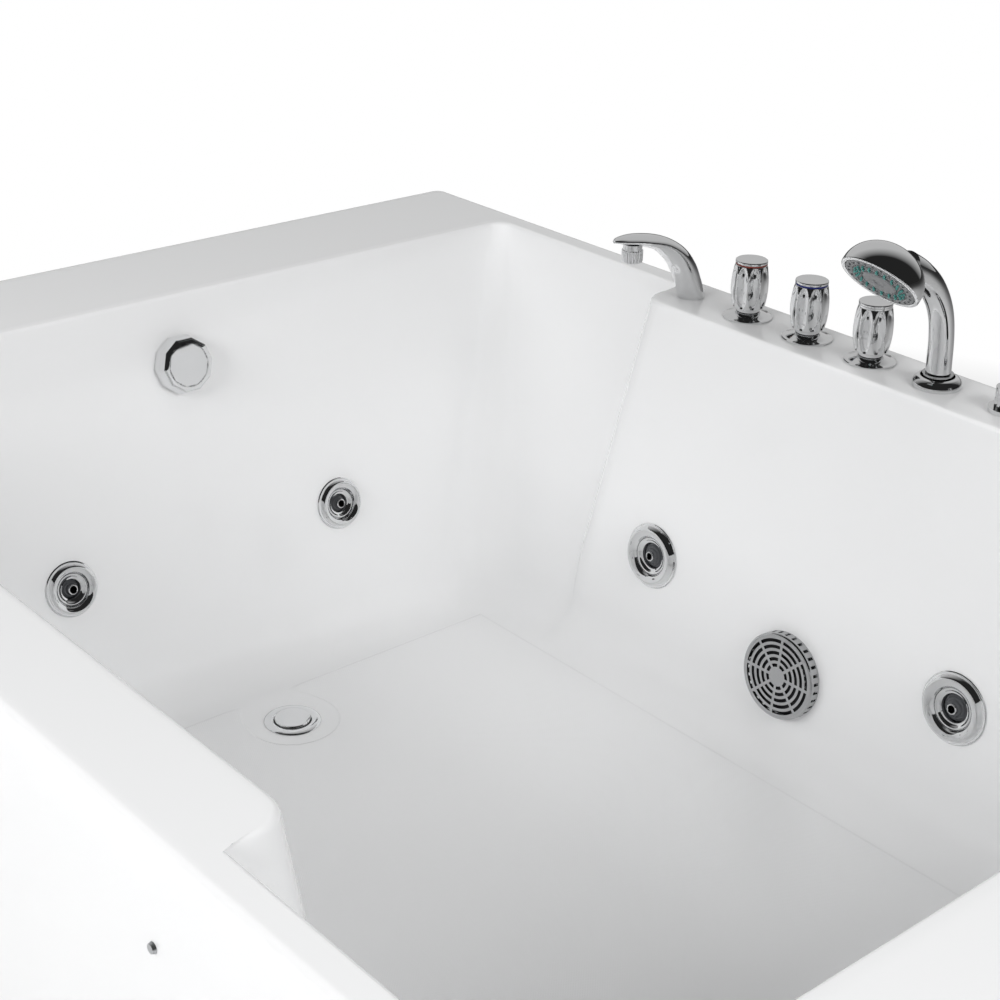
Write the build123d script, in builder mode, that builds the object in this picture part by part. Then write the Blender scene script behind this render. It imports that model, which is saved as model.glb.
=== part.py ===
from build123d import *
from math import cos, radians, sin
import os

os.makedirs("parts", exist_ok=True)

# Jetted bathtub. Origin on the floor under the middle of the tub, +X towards the backrest end,
# +Y towards the deck that carries the taps, +Z up. Millimetres.

# Tub, overall and rim
overall_length = 1680.0
overall_width = 1150.0
rim_height = 600.0
end_rim_width = 175.0
backrest_rim_width = 175.0
side_rim_width = 31.0
deck_width = 100.0
armrest_width = 92.0
rim_corner = 16.0
lip_height = 55.0
shell_wall = 8.0
rim_edge_round = 6.0
basin_edge_round = 5.0

# Basin: depth, wall slopes as run over drop, and corner radii at the rim and at the floor
basin_depth = 477.0
end_slope = 0.24
backrest_slope = 0.4877
side_slope = 0.25
deck_slope = 0.10
narrow_draft = 0.22
narrow_half_length = 322.0
corner_at_rim = 24.0
corner_at_floor = 75.0
narrow_corner_at_rim = 22.0
narrow_corner_at_floor = 60.0
cove_radius = 60.0

# Raised anti-slip panel in the floor
panel_thickness = 1.2
panel_start_inset = 354.0
panel_end_inset = 468.0
panel_half_width = 366.0
panel_corner = 14.0
panel_notch_radius = 52.0
panel_notch_shift = 14.0
panel_notch_flare = 34.0

# Fits between pieces
running_clearance = 0.06
loose_clearance = 0.3
seat_gap = 0.3
hole_clearance = 1.0

# Places on the walls, along the wall and as a drop below the rim
fitting_line_y = 16.0
fitting_line_x = -12.0
end_jet_spacing = 390.0
end_jet_drop = 304.0
side_jet_spacing = 466.0
side_jet_drop = 315.0
suction_drop = 377.0
overflow_drop = 81.0
drain_inset = 416.0

# Deck fittings
deck_line_inset = 50.0
deck_pitch = 93.0
first_fitting_x = -285.0
deck_thread_radius = 13.5
deck_nut_radius = 21.0
deck_nut_height = 8.0

# Taps
tap_flange_radius = 29.5
tap_flange_height = 8.0
tap_neck_radius = 14.0
tap_neck_height = 6.0
tap_barrel_height = 54.0
tap_barrel_end_radius = 19.0
tap_barrel_mid_radius = 23.0
tap_flutes = 9
tap_flute_radius = 9.0
tap_flute_depth = 3.0
tap_ring_height = 2.5
tap_ring_recess = 3.0
tap_cap_height = 3.5
spindle_radius = 5.0
spindle_length_above = 38.0
spindle_length_below = 52.0
valve_block_size = 34.0
valve_block_height = 52.0
valve_block_drop = 30.0
tail_radius = 10.5
tail_length = 30.0
supply_tube_radius = 6.0
inlet_shift = 16.0

# Spout. Each station: reach over the basin, height, lean from upright in degrees, half width, half depth
spout_stations = (
    (0.0, 0.0, 0.0, 16.0, 17.0),
    (8.0, 20.0, 22.0, 16.0, 16.5),
    (18.0, 40.0, 30.0, 17.0, 15.5),
    (35.0, 61.0, 47.0, 18.5, 13.0),
    (62.0, 79.0, 65.0, 20.0, 9.5),
    (95.0, 89.0, 79.0, 19.0, 7.0),
    (122.0, 93.0, 87.0, 12.0, 4.5),
    (137.0, 94.0, 92.0, 3.0, 2.0),
)
aerator_radius = 12.5
aerator_wall = 2.5
aerator_height = 15.0
aerator_top = 80.0
aerator_reach = 106.0
aerator_ribs = 24
aerator_rib_depth = 0.8
spout_shank_radius = 10.0

# Hand shower: stem and head in the plane of the spout's throw
shower_ring_radius = 27.0
shower_ring_height = 12.0
guide_radius = 18.0
guide_length = 88.0
collar_radius = 13.0
collar_flange_radius = 17.0
collar_flange_height = 3.0
collar_length = 45.0
spigot_radius = 10.0
spigot_length = 50.0
head_reach = 121.0
head_height = 141.0
head_tilt = 43.0
head_radius = 45.0
head_rim_height = 5.0
head_depth = 42.0
face_radius = 40.0
face_depth = 6.0
nozzle_ring_radius = 31.0
nozzle_ring_depth = 2.5

# Hand shower stem. Each station: reach over the basin, height above the deck, lean in degrees, radius
stem_foot_radius = 14.0
stem_stations = (
    (2.5, 58.0, 8.0, 13.6),
    (11.0, 90.0, 20.0, 13.6),
    (30.0, 118.0, 43.0, 14.2),
    (55.0, 138.0, 56.0, 15.5),
    (80.0, 151.0, 62.0, 17.0),
)

# Air control and air switch
air_flange_radius = 21.0
air_flange_height = 5.0
air_knob_radius = 15.0
air_knob_height = 22.0
air_body_radius = 17.0
air_body_length = 60.0
switch_button_radius = 14.0
switch_button_height = 5.0
switch_travel = 4.0

# Overflow and drain
overflow_knob_radius = 37.0
overflow_knob_height = 22.0
overflow_knob_facets = 12
overflow_body_radius = 26.0
overflow_body_length = 88.0
overflow_hole_radius = 20.0
pipe_radius = 20.0
pipe_wall = 2.5
overflow_pipe_inset = 125.0
overflow_pipe_drop = 50.0
tee_wall = 3.0
tee_overlap = 6.0
overflow_pipe_rise = 16.0
tail_end_height = 12.0
drain_pipe_height = 74.0
drain_flange_radius = 35.0
drain_flange_thickness = 3.0
drain_throat_radius = 23.0
drain_plug_radius = 22.0
drain_plug_thickness = 3.5
drain_plug_stem_radius = 4.0
drain_body_radius = 27.0
drain_dish_radius = 62.0
drain_dish_depth = 2.4
cable_radius = 3.0
cable_bend = 24.0
cable_side = 34.0
cable_back = 49.4
cable_drop = 14.0

# Jets: large on the long walls, small on the end wall
large_jet_radius = 42.0
small_jet_radius = 33.8
large_bezel_bore = 24.0
small_bezel_bore = 19.5
bezel_height = 9.0
jet_tube_wall = 5.0
jet_tube_depth = 20.0
jet_nut_step = 7.0
jet_nut_thickness = 10.0
jet_body_length = 80.0
jet_rear_radius = 18.0
jet_ring_depth = 9.0
jet_ring_wall = 7.0
jet_ring_proud = 3.0
nozzle_length = 17.0
nozzle_nose = 6.0
nozzle_bore_radius = 4.0
jet_boss_radius = 12.0
jet_boss_reach = 27.0
jet_boss_inset = 16.0

# Suction fitting
suction_radius = 53.0
suction_height = 14.0
suction_skin = 2.5
suction_body_radius = 40.0
suction_body_depth = 42.0
suction_slot_rings = 5
suction_slot_width = 4.0
suction_slot_pitch = 7.6
suction_first_slot = 14.0
suction_spokes = 8
suction_spoke_width = 3.6
suction_side_slots = 32
suction_side_slot_width = 3.6

# Water and air pipes round the basin
water_pipe_radius = 14.0
air_pipe_radius = 9.0
suction_pipe_radius = 20.0
pipe_run_inset = 67.0
end_pipe_inset = 185.0
water_pipe_height = 230.0
air_pipe_height = 330.0
suction_pipe_height = 150.0
suction_pipe_inset = 112.0
suction_boss_end = 171.5
pipe_bend = 40.0
pipe_stub_radius = 9.0

# Pump
pump_inset = 200.0
pump_axis_height = 187.0
motor_radius = 66.0
motor_length = 215.0
motor_start_y = -70.0
volute_radius = 70.0
volute_width = 60.0
volute_skin = 8.0
impeller_radius = 50.0
impeller_vanes = 6
impeller_width = 16.0
shaft_radius = 8.0
pump_inlet_radius = 24.0
pump_outlet_radius = 16.0
pump_outlet_shift = 48.0
pump_foot_width = 120.0

# Support under the tub
board_thickness = 18.0
board_start_inset = 480.0
board_end_inset = 400.0
board_half_width = 415.0
pump_board_length = 220.0
rail_size = 30.0
rail_offset_y = 300.0
crossbar_inset = 60.0
post_width = 40.0
post_thickness = 12.0
apron_thickness = 4.0
apron_gap = 0.4
apron_bottom = 45.0
apron_return = 26.0
foot_radius = 25.0
foot_pad_height = 8.0
foot_stem_radius = 6.0
foot_nut_radius = 11.0
foot_inset = 60.0
screw_head_radius = 5.0
screw_head_height = 3.0

# Worked out from the sizes above
half_length = overall_length / 2
half_width = overall_width / 2
panel_start_x = panel_start_inset - half_length
panel_end_x = half_length - panel_end_inset
drain_x = drain_inset - half_length
overflow_pipe_x = overflow_pipe_inset - half_length
pump_x = half_length - pump_inset
board_start_x = board_start_inset - half_length
board_end_x = half_length - board_end_inset
last_crossbar_x = half_length - crossbar_inset
crossbar_places = (-last_crossbar_x, -last_crossbar_x / 3, last_crossbar_x / 3, last_crossbar_x)
floor_height = rim_height - basin_depth
floor_underside = floor_height - shell_wall
deck_underside = rim_height - shell_wall
deck_line_y = half_width - deck_line_inset
rail_top = floor_underside - board_thickness
crossbar_top = rail_top - rail_size
crossbar_bottom = crossbar_top - rail_size
apron_outer_y = half_width - shell_wall - apron_gap
post_outer_y = apron_outer_y - apron_thickness
post_inner_y = post_outer_y - post_thickness
pipe_run_y = half_width - pipe_run_inset
suction_run_y = half_width - suction_pipe_inset
end_pipe_x = -half_length + end_pipe_inset
deck_places = [first_fitting_x + deck_pitch * n for n in range(7)]
spout_x, hot_x, cold_x, diverter_x, shower_x, air_control_x, air_switch_x = deck_places
tap_base = rim_height + tap_flange_height + seat_gap
tap_top = tap_base + tap_neck_height + tap_barrel_height


def end_wall(along, drop):
    """Plane on the basin's end wall, facing into the basin with its Y axis up the wall."""
    place = (-half_length + end_rim_width + end_slope * drop, along, rim_height - drop)
    return Plane(origin=place, x_dir=(0, 1, 0), z_dir=(1, 0, end_slope))


def deck_wall(along, drop):
    """Plane on the wall under the deck."""
    place = (along, half_width - deck_width - deck_slope * drop, rim_height - drop)
    return Plane(origin=place, x_dir=(1, 0, 0), z_dir=(0, -1, deck_slope))


def armrest_wall(along, drop):
    """Plane on the wall under the armrest."""
    place = (along, armrest_width - half_width + deck_slope * drop, rim_height - drop)
    return Plane(origin=place, x_dir=(-1, 0, 0), z_dir=(0, 1, deck_slope))


half_end = end_jet_spacing / 2
half_side = side_jet_spacing / 2
large_jet = (large_jet_radius, large_bezel_bore)
small_jet = (small_jet_radius, small_bezel_bore)
jets = {
    "end_deck_side": (end_wall(fitting_line_y + half_end, end_jet_drop), small_jet),
    "end_armrest_side": (end_wall(fitting_line_y - half_end, end_jet_drop), small_jet),
    "deck_left": (deck_wall(fitting_line_x - half_side, side_jet_drop), large_jet),
    "deck_right": (deck_wall(fitting_line_x + half_side, side_jet_drop), large_jet),
    "armrest_left": (armrest_wall(fitting_line_x - half_side, side_jet_drop), large_jet),
    "armrest_right": (armrest_wall(fitting_line_x + half_side, side_jet_drop), large_jet),
}
suction_place = deck_wall(fitting_line_x, suction_drop)
overflow_place = end_wall(fitting_line_y, overflow_drop)


def behind(place, depth):
    """A plane moved back through the wall by a depth, keeping its directions."""
    return place.offset(-depth)


def basin_body(grow, top):
    """The basin as a solid up to a height; grow makes the outer skin of the same shape."""
    with BuildPart() as body:
        for height in (floor_height - grow, top):
            drop = rim_height - height
            low = end_rim_width - half_length + end_slope * drop - grow
            high = half_length - backrest_rim_width - backrest_slope * drop + grow
            half = half_width - side_rim_width - side_slope * drop + grow
            share = drop / basin_depth
            corner = corner_at_rim + (corner_at_floor - corner_at_rim) * share + grow
            with BuildSketch(Plane.XY.offset(height)):
                with Locations(((low + high) / 2, 0)):
                    RectangleRounded(high - low, 2 * half, corner)
        loft()
        fillet(body.edges().group_by(Axis.Z)[0], radius=cove_radius + grow)
        for side, rim_part in ((1, deck_width), (-1, armrest_width)):
            for height in (floor_height - grow, top):
                drop = rim_height - height
                reach = narrow_half_length + narrow_draft * drop - grow
                front = half_width - rim_part - deck_slope * drop + grow
                back = half_width + shell_wall
                share = drop / basin_depth
                corner = narrow_corner_at_rim - grow
                corner += (narrow_corner_at_floor - narrow_corner_at_rim) * share
                with BuildSketch(Plane.XY.offset(height)) as narrowing:
                    with Locations((0, side * (front + back) / 2)):
                        Rectangle(2 * reach, back - front)
                    inner = narrowing.vertices().sort_by(Axis.Y)
                    fillet(inner[:2] if side > 0 else inner[-2:], radius=corner)
            loft(mode=Mode.SUBTRACT)
    return body.part


def round_hole(place, radius, depth):
    """Cuts a round hole through what stands behind a plane, from a little before it."""
    with Locations(place.offset(depth / 2)):
        Cylinder(radius, 2 * depth, mode=Mode.SUBTRACT)


# Acrylic tub shell with its rim, turned-down lip, coved basin and floor panel
with BuildPart() as tub_shell:
    with BuildSketch(Plane.XY.offset(deck_underside)):
        RectangleRounded(overall_length, overall_width, rim_corner)
    extrude(amount=shell_wall)
    with BuildSketch(Plane.XY.offset(rim_height - lip_height)):
        RectangleRounded(overall_length, overall_width, rim_corner)
        inside = (overall_length - 2 * shell_wall, overall_width - 2 * shell_wall)
        RectangleRounded(*inside, rim_corner - shell_wall, mode=Mode.SUBTRACT)
    extrude(amount=lip_height - shell_wall)
    fillet(tub_shell.edges().group_by(Axis.Z)[-1], radius=rim_edge_round)
    add(basin_body(shell_wall, rim_height))
    add(basin_body(0.0, rim_height), mode=Mode.SUBTRACT)
    basin_edge = tub_shell.faces().sort_by(Axis.Z)[-1].inner_wires()[0].edges()
    fillet(basin_edge, radius=basin_edge_round)
    with BuildSketch(Plane.XY.offset(floor_height)) as panel:
        with Locations(((panel_start_x + panel_end_x) / 2, 0)):
            RectangleRounded(panel_end_x - panel_start_x, 2 * panel_half_width, panel_corner)
        with Locations((drain_x - panel_notch_shift, fitting_line_y)):
            Circle(panel_notch_radius, mode=Mode.SUBTRACT)
        mouth = panel.vertices().group_by(Axis.X)[0]
        mouth = [v for v in mouth if abs(v.Y - fitting_line_y) < panel_notch_radius + 1]
        fillet(mouth, radius=panel_notch_flare)
    extrude(amount=panel_thickness)
    with BuildSketch(Plane.XZ.offset(-fitting_line_y)):
        with BuildLine():
            Polyline(
                (drain_x, floor_height + panel_thickness),
                (drain_x, floor_height - drain_dish_depth),
                (drain_x + drain_flange_radius + 1, floor_height - drain_dish_depth),
                (drain_x + drain_dish_radius, floor_height),
                (drain_x + drain_dish_radius, floor_height + panel_thickness),
                (drain_x, floor_height + panel_thickness),
            )
        make_face()
    revolve(axis=Axis((drain_x, fitting_line_y, 0), (0, 0, 1)), mode=Mode.SUBTRACT)
    with Locations((drain_x, fitting_line_y, floor_height)):
        Cylinder(drain_body_radius + hole_clearance, 4 * shell_wall, mode=Mode.SUBTRACT)
    for place, (radius, bore) in jets.values():
        round_hole(place, bore + jet_tube_wall + hole_clearance, 3 * shell_wall)
    round_hole(suction_place, suction_body_radius + hole_clearance, 3 * shell_wall)
    round_hole(overflow_place, overflow_hole_radius, 3 * shell_wall)
    for x, radius in (
        (spout_x, spout_shank_radius),
        (hot_x, deck_thread_radius),
        (cold_x, deck_thread_radius),
        (diverter_x, deck_thread_radius),
        (shower_x, guide_radius),
        (air_control_x, air_body_radius),
        (air_switch_x, air_body_radius),
    ):
        with Locations((x, deck_line_y, rim_height)):
            Cylinder(radius + hole_clearance, 4 * shell_wall, mode=Mode.SUBTRACT)
tub_shell.part.label = "tub_shell"
export_step(tub_shell.part, "parts/tub_shell.step")

# Boards bonded under the floor, clear of the drain, and one that carries the pump
with BuildPart() as base_boards:
    with BuildSketch(Plane.XY.offset(rail_top)):
        with Locations(((board_start_x + board_end_x) / 2, 0)):
            Rectangle(board_end_x - board_start_x, 2 * board_half_width)
        with Locations((pump_x, 0)):
            Rectangle(pump_board_length, 2 * rail_offset_y + rail_size)
    extrude(amount=board_thickness)
base_boards.part.label = "base_boards"
export_step(base_boards.part, "parts/base_boards.step")

# Steel frame: long rails on crossbars, posts at the crossbar ends, bars under the end rims
rail_end = crossbar_places[-1] + rail_size / 2
with BuildPart() as frame_rails:
    with Locations([(0, y, rail_top - rail_size / 2) for y in (-rail_offset_y, rail_offset_y)]):
        Box(2 * rail_end, rail_size, rail_size)
frame_rails.part.label = "frame_rails"
export_step(frame_rails.part, "parts/frame_rails.step")

with BuildPart() as frame_crossbars:
    with Locations([(x, 0, crossbar_top - rail_size / 2) for x in crossbar_places]):
        Box(rail_size, 2 * post_outer_y, rail_size)
    with Locations([(x, y, crossbar_bottom) for x in crossbar_places
                    for y in (foot_inset - half_width, half_width - foot_inset)]):
        Cylinder(foot_stem_radius + loose_clearance, 4 * rail_size, mode=Mode.SUBTRACT)
frame_crossbars.part.label = "frame_crossbars"
export_step(frame_crossbars.part, "parts/frame_crossbars.step")

post_length = deck_underside - crossbar_top
post_y = (post_inner_y + post_outer_y) / 2
with BuildPart() as frame_posts:
    post_middle = crossbar_top + post_length / 2
    with Locations([(x, y, post_middle) for x in crossbar_places for y in (-post_y, post_y)]):
        Box(post_width, post_thickness, post_length)
    with Locations([(x, 0, deck_underside - rail_size / 2) for x in crossbar_places[::3]]):
        Box(rail_size, 2 * post_inner_y, rail_size)
frame_posts.part.label = "frame_posts"
export_step(frame_posts.part, "parts/frame_posts.step")

# Levelling feet: rubber-soled pad with its threaded stem, and a lock nut under the crossbar
foot_places = [(x, y) for x in crossbar_places for y in (foot_inset - half_width, half_width - foot_inset)]
with BuildPart() as foot:
    with BuildSketch(Plane.XZ):
        with BuildLine():
            Polyline(
                (0, 0),
                (foot_radius, 0),
                (foot_radius, foot_pad_height / 2),
                (foot_stem_radius, foot_pad_height),
                (foot_stem_radius, crossbar_top - loose_clearance),
                (0, crossbar_top - loose_clearance),
                (0, 0),
            )
        make_face()
    revolve(axis=Axis.Z)
with BuildPart() as foot_nut:
    with BuildSketch(Plane.XY.offset(crossbar_bottom - foot_nut_radius)):
        RegularPolygon(foot_nut_radius, 6)
        Circle(foot_stem_radius + loose_clearance, mode=Mode.SUBTRACT)
    extrude(amount=foot_nut_radius)
with BuildPart() as levelling_feet:
    with Locations(*foot_places):
        add(foot.part)
        add(foot_nut.part)
levelling_feet.part.label = "levelling_feet"
export_step(levelling_feet.part, "parts/levelling_feet.step")

# Removable front apron hung inside the lip, with its returns, and the screws into the front posts
apron_length = overall_length - 2 * rim_corner - 2 * apron_gap
with BuildPart() as front_apron:
    with Locations((0, apron_thickness / 2 - apron_outer_y, (apron_bottom + deck_underside - seat_gap) / 2)):
        Box(apron_length, apron_thickness, deck_underside - seat_gap - apron_bottom)
    for side in (-1, 1):
        with Locations((
            side * (apron_length - apron_thickness) / 2,
            apron_return / 2 - apron_outer_y,
            (apron_bottom + deck_underside - seat_gap) / 2,
        )):
            Box(apron_thickness, apron_return, deck_underside - seat_gap - apron_bottom)
    screw_heights = (crossbar_top + post_width, rim_height - 2 * lip_height)
    screw_holes = [(x, z) for x in crossbar_places for z in screw_heights]
    for x, z in screw_holes:
        with Locations(Plane(origin=(x, -apron_outer_y, z), z_dir=(0, -1, 0))):
            Cylinder(screw_head_radius / 2 + loose_clearance, 4 * apron_thickness, mode=Mode.SUBTRACT)
front_apron.part.label = "front_apron"
export_step(front_apron.part, "parts/front_apron.step")

with BuildPart() as apron_screws:
    for x, z in screw_holes:
        with BuildSketch(Plane(origin=(x, -apron_outer_y, z), z_dir=(0, -1, 0))):
            Circle(screw_head_radius)
        extrude(amount=screw_head_height, taper=20)
        with BuildSketch(Plane(origin=(x, -apron_outer_y, z), z_dir=(0, -1, 0))):
            Circle(screw_head_radius / 2)
        extrude(amount=-apron_thickness)
apron_screws.part.label = "apron_screws"
export_step(apron_screws.part, "parts/apron_screws.step")


def leaning_plane(x, reach, height, lean):
    """Plane across a stem that leans over the basin, from its reach, height above the deck and lean."""
    place = (x, deck_line_y - reach, rim_height + height)
    return Plane(origin=place, x_dir=(1, 0, 0), z_dir=(0, -sin(radians(lean)), cos(radians(lean))))


# Spout: a tapering column that bends over into an arched blade, with a seat for the aerator
aerator_seat = rim_height + aerator_top
with BuildPart() as spout_body:
    for reach, rise, lean, half_across, half_deep in spout_stations:
        with BuildSketch(leaning_plane(spout_x, reach, rise, lean)):
            Ellipse(half_across, half_deep)
    loft()
    with Locations((spout_x, deck_line_y - aerator_reach, aerator_seat)):
        Cylinder(aerator_radius - 1, aerator_height / 2, align=(Align.CENTER, Align.CENTER, Align.MIN))
spout_body.part.label = "spout_body"
export_step(spout_body.part, "parts/spout_body.step")

with BuildPart() as spout_aerator:
    with BuildSketch(Plane.XY.offset(aerator_seat - aerator_height)):
        with Locations((spout_x, deck_line_y - aerator_reach)):
            Circle(aerator_radius)
            with PolarLocations(aerator_radius, aerator_ribs):
                Circle(aerator_rib_depth, mode=Mode.SUBTRACT)
            Circle(aerator_radius - aerator_wall, mode=Mode.SUBTRACT)
    extrude(amount=aerator_height)
    with Locations((spout_x, deck_line_y - aerator_reach, aerator_seat - aerator_height / 2)):
        Cylinder(aerator_radius - aerator_wall / 2, aerator_height / 3)
spout_aerator.part.label = "spout_aerator"
export_step(spout_aerator.part, "parts/spout_aerator.step")


def block_bottom():
    """Height of the underside of the valve blocks under the deck."""
    return deck_underside - valve_block_drop - valve_block_height


# Spout shank through the deck with its nut and inlet block
with BuildPart() as spout_shank:
    with Locations((spout_x, deck_line_y, block_bottom() + valve_block_height)):
        Cylinder(spout_shank_radius, rim_height - block_bottom() - valve_block_height,
                 align=(Align.CENTER, Align.CENTER, Align.MIN))
        Box(valve_block_size, valve_block_size, valve_block_height,
            align=(Align.CENTER, Align.CENTER, Align.MAX))
    with BuildSketch(Plane.XY.offset(deck_underside - deck_nut_height)):
        with Locations((spout_x, deck_line_y)):
            RegularPolygon(deck_nut_radius, 6)
    extrude(amount=deck_nut_height)
spout_shank.part.label = "spout_shank"
export_step(spout_shank.part, "parts/spout_shank.step")

# Valve bodies of the three taps: threaded neck, nut and block; the hot and cold ones have inlet tails
# that stand behind the spindles, so that a hose reaches them past the pipe runs
with BuildPart() as valve_bodies:
    for x, tail in ((hot_x, True), (cold_x, True), (diverter_x, False)):
        with Locations((x, deck_line_y + inlet_shift / 2, block_bottom())):
            Box(valve_block_size, valve_block_size + inlet_shift, valve_block_height,
                align=(Align.CENTER, Align.CENTER, Align.MIN))
        with Locations((x, deck_line_y, block_bottom())):
            Cylinder(deck_thread_radius, rim_height - block_bottom(),
                     align=(Align.CENTER, Align.CENTER, Align.MIN))
        if tail:
            with Locations((x, deck_line_y + inlet_shift, block_bottom())):
                Cylinder(tail_radius, tail_length, align=(Align.CENTER, Align.CENTER, Align.MAX))
        with BuildSketch(Plane.XY.offset(deck_underside - deck_nut_height)):
            with Locations((x, deck_line_y)):
                RegularPolygon(deck_nut_radius, 6)
        extrude(amount=deck_nut_height)
        with Locations((x, deck_line_y, rim_height)):
            Cylinder(spindle_radius + running_clearance, 2 * (spindle_length_below + seat_gap),
                     mode=Mode.SUBTRACT)
valve_bodies.part.label = "valve_bodies"
export_step(valve_bodies.part, "parts/valve_bodies.step")

with BuildPart() as knob_flanges:
    for x in (hot_x, cold_x, diverter_x):
        with BuildSketch(Plane(origin=(x, deck_line_y, rim_height), z_dir=(0, -1, 0), x_dir=(1, 0, 0))):
            with BuildLine():
                inner = spindle_radius + loose_clearance
                shoulder = tap_neck_radius + 2
                Polyline((shoulder, tap_flange_height), (inner, tap_flange_height), (inner, 0),
                         (tap_flange_radius, 0), (tap_flange_radius, 2))
                ThreePointArc((tap_flange_radius, 2), (tap_flange_radius - 4, 5.5),
                              (shoulder, tap_flange_height))
            make_face()
        revolve(axis=Axis((x, deck_line_y, 0), (0, 0, 1)))
knob_flanges.part.label = "knob_flanges"
export_step(knob_flanges.part, "parts/knob_flanges.step")

# Straight tubes between the blocks, and the bent one from the diverter back to the spout
with BuildPart() as supply_tubes:
    tube_height = block_bottom() + valve_block_height / 2
    half_block = valve_block_size / 2
    for start, end in ((hot_x, cold_x), (cold_x, diverter_x), (diverter_x, shower_x)):
        shift = half_block if end != shower_x else guide_radius
        with BuildSketch(Plane.YZ.offset(start + half_block)):
            with Locations((deck_line_y, tube_height)):
                Circle(supply_tube_radius)
        extrude(amount=end - shift - start - half_block)
    with BuildLine() as route:
        FilletPolyline(
            (diverter_x, deck_line_y - half_block, tube_height),
            (diverter_x, deck_line_y - half_block - 18, tube_height),
            (spout_x, deck_line_y - half_block - 18, tube_height),
            (spout_x, deck_line_y - half_block, tube_height),
            radius=11,
        )
    with BuildSketch(Plane(origin=route.line @ 0, z_dir=route.line % 0)):
        Circle(supply_tube_radius)
    sweep(path=route.line)
supply_tubes.part.label = "supply_tubes"
export_step(supply_tubes.part, "parts/supply_tubes.step")

# Tap knobs: a barrel with concave flutes and a flat cap over a coloured band, and the spindle it turns
barrel_bottom = tap_base + tap_neck_height
barrel_top = tap_top
ring_bottom = barrel_top
ring_top = ring_bottom + tap_ring_height
cap_top = ring_top + tap_cap_height
spindle_top = rim_height + spindle_length_above


def tap_knob(x, banded):
    """A fluted knob; banded leaves the groove for the coloured band under the cap."""
    with BuildPart() as knob:
        with BuildSketch(Plane(origin=(x, deck_line_y, 0), z_dir=(0, -1, 0), x_dir=(1, 0, 0))):
            with BuildLine():
                Polyline(
                    (tap_barrel_end_radius, barrel_top),
                    (0, barrel_top),
                    (0, spindle_top),
                    (spindle_radius + loose_clearance, spindle_top),
                    (spindle_radius + loose_clearance, tap_base),
                    (tap_neck_radius, tap_base),
                    (tap_neck_radius, barrel_bottom),
                    (tap_barrel_end_radius, barrel_bottom),
                )
                ThreePointArc(
                    (tap_barrel_end_radius, barrel_bottom),
                    (tap_barrel_mid_radius, (barrel_bottom + barrel_top) / 2),
                    (tap_barrel_end_radius, barrel_top),
                )
            make_face()
        revolve(axis=Axis((x, deck_line_y, 0), (0, 0, 1)))
        flute_centre = tap_barrel_mid_radius + tap_flute_radius - tap_flute_depth
        with Locations((x, deck_line_y, (barrel_bottom + barrel_top) / 2)):
            with PolarLocations(flute_centre, tap_flutes):
                Cylinder(tap_flute_radius, tap_barrel_height - 8, mode=Mode.SUBTRACT)
        groove = tap_ring_recess if banded else 0.0
        with Locations((x, deck_line_y, barrel_top)):
            Cylinder(tap_barrel_end_radius - groove, tap_ring_height,
                     align=(Align.CENTER, Align.CENTER, Align.MIN))
        with Locations((x, deck_line_y, ring_top)):
            Cylinder(tap_barrel_end_radius, tap_cap_height, align=(Align.CENTER, Align.CENTER, Align.MIN))
    return knob.part


for name, x in (("hot", hot_x), ("cold", cold_x), ("diverter", diverter_x)):
    knob = tap_knob(x, name != "diverter")
    knob.label = f"{name}_knob"
    export_step(knob, f"parts/{name}_knob.step")
    with BuildPart() as spindle:
        with Locations((x, deck_line_y, rim_height - spindle_length_below)):
            Cylinder(spindle_radius, spindle_length_below + spindle_length_above,
                     align=(Align.CENTER, Align.CENTER, Align.MIN))
    spindle.part.label = f"{name}_spindle"
    export_step(spindle.part, f"parts/{name}_spindle.step")

for name, x in (("hot", hot_x), ("cold", cold_x)):
    with BuildPart() as band:
        with BuildSketch(Plane.XY.offset(ring_bottom)):
            with Locations((x, deck_line_y)):
                Circle(tap_barrel_end_radius)
                Circle(tap_barrel_end_radius - tap_ring_recess + loose_clearance, mode=Mode.SUBTRACT)
        extrude(amount=tap_ring_height)
    band.part.label = f"{name}_band"
    export_step(band.part, f"parts/{name}_band.step")

# Hand shower: fixed guide, collar that turns in it, and the body whose spigot lifts out of the collar
ring_top_height = rim_height + shower_ring_height
with BuildPart() as shower_guide:
    with BuildSketch(Plane(origin=(shower_x, deck_line_y, 0), z_dir=(0, -1, 0), x_dir=(1, 0, 0))):
        with BuildLine():
            bore = collar_radius + running_clearance
            Polyline(
                (collar_flange_radius + 2, ring_top_height),
                (bore, ring_top_height),
                (bore, rim_height - guide_length),
                (guide_radius, rim_height - guide_length),
                (guide_radius, deck_underside - deck_nut_height),
                (deck_nut_radius + 2, deck_underside - deck_nut_height),
                (deck_nut_radius + 2, deck_underside),
                (guide_radius, deck_underside),
                (guide_radius, rim_height),
                (shower_ring_radius, rim_height),
                (shower_ring_radius, rim_height + 3),
            )
            ThreePointArc(
                (shower_ring_radius, rim_height + 3),
                (shower_ring_radius - 2.5, ring_top_height - 3),
                (collar_flange_radius + 2, ring_top_height),
            )
        make_face()
    revolve(axis=Axis((shower_x, deck_line_y, 0), (0, 0, 1)))
    with Locations((shower_x, deck_line_y, rim_height - guide_length)):
        Cylinder(guide_radius, 6)
        Cylinder(tail_radius, tail_length, align=(Align.CENTER, Align.CENTER, Align.MAX))
shower_guide.part.label = "shower_guide"
export_step(shower_guide.part, "parts/shower_guide.step")

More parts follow.
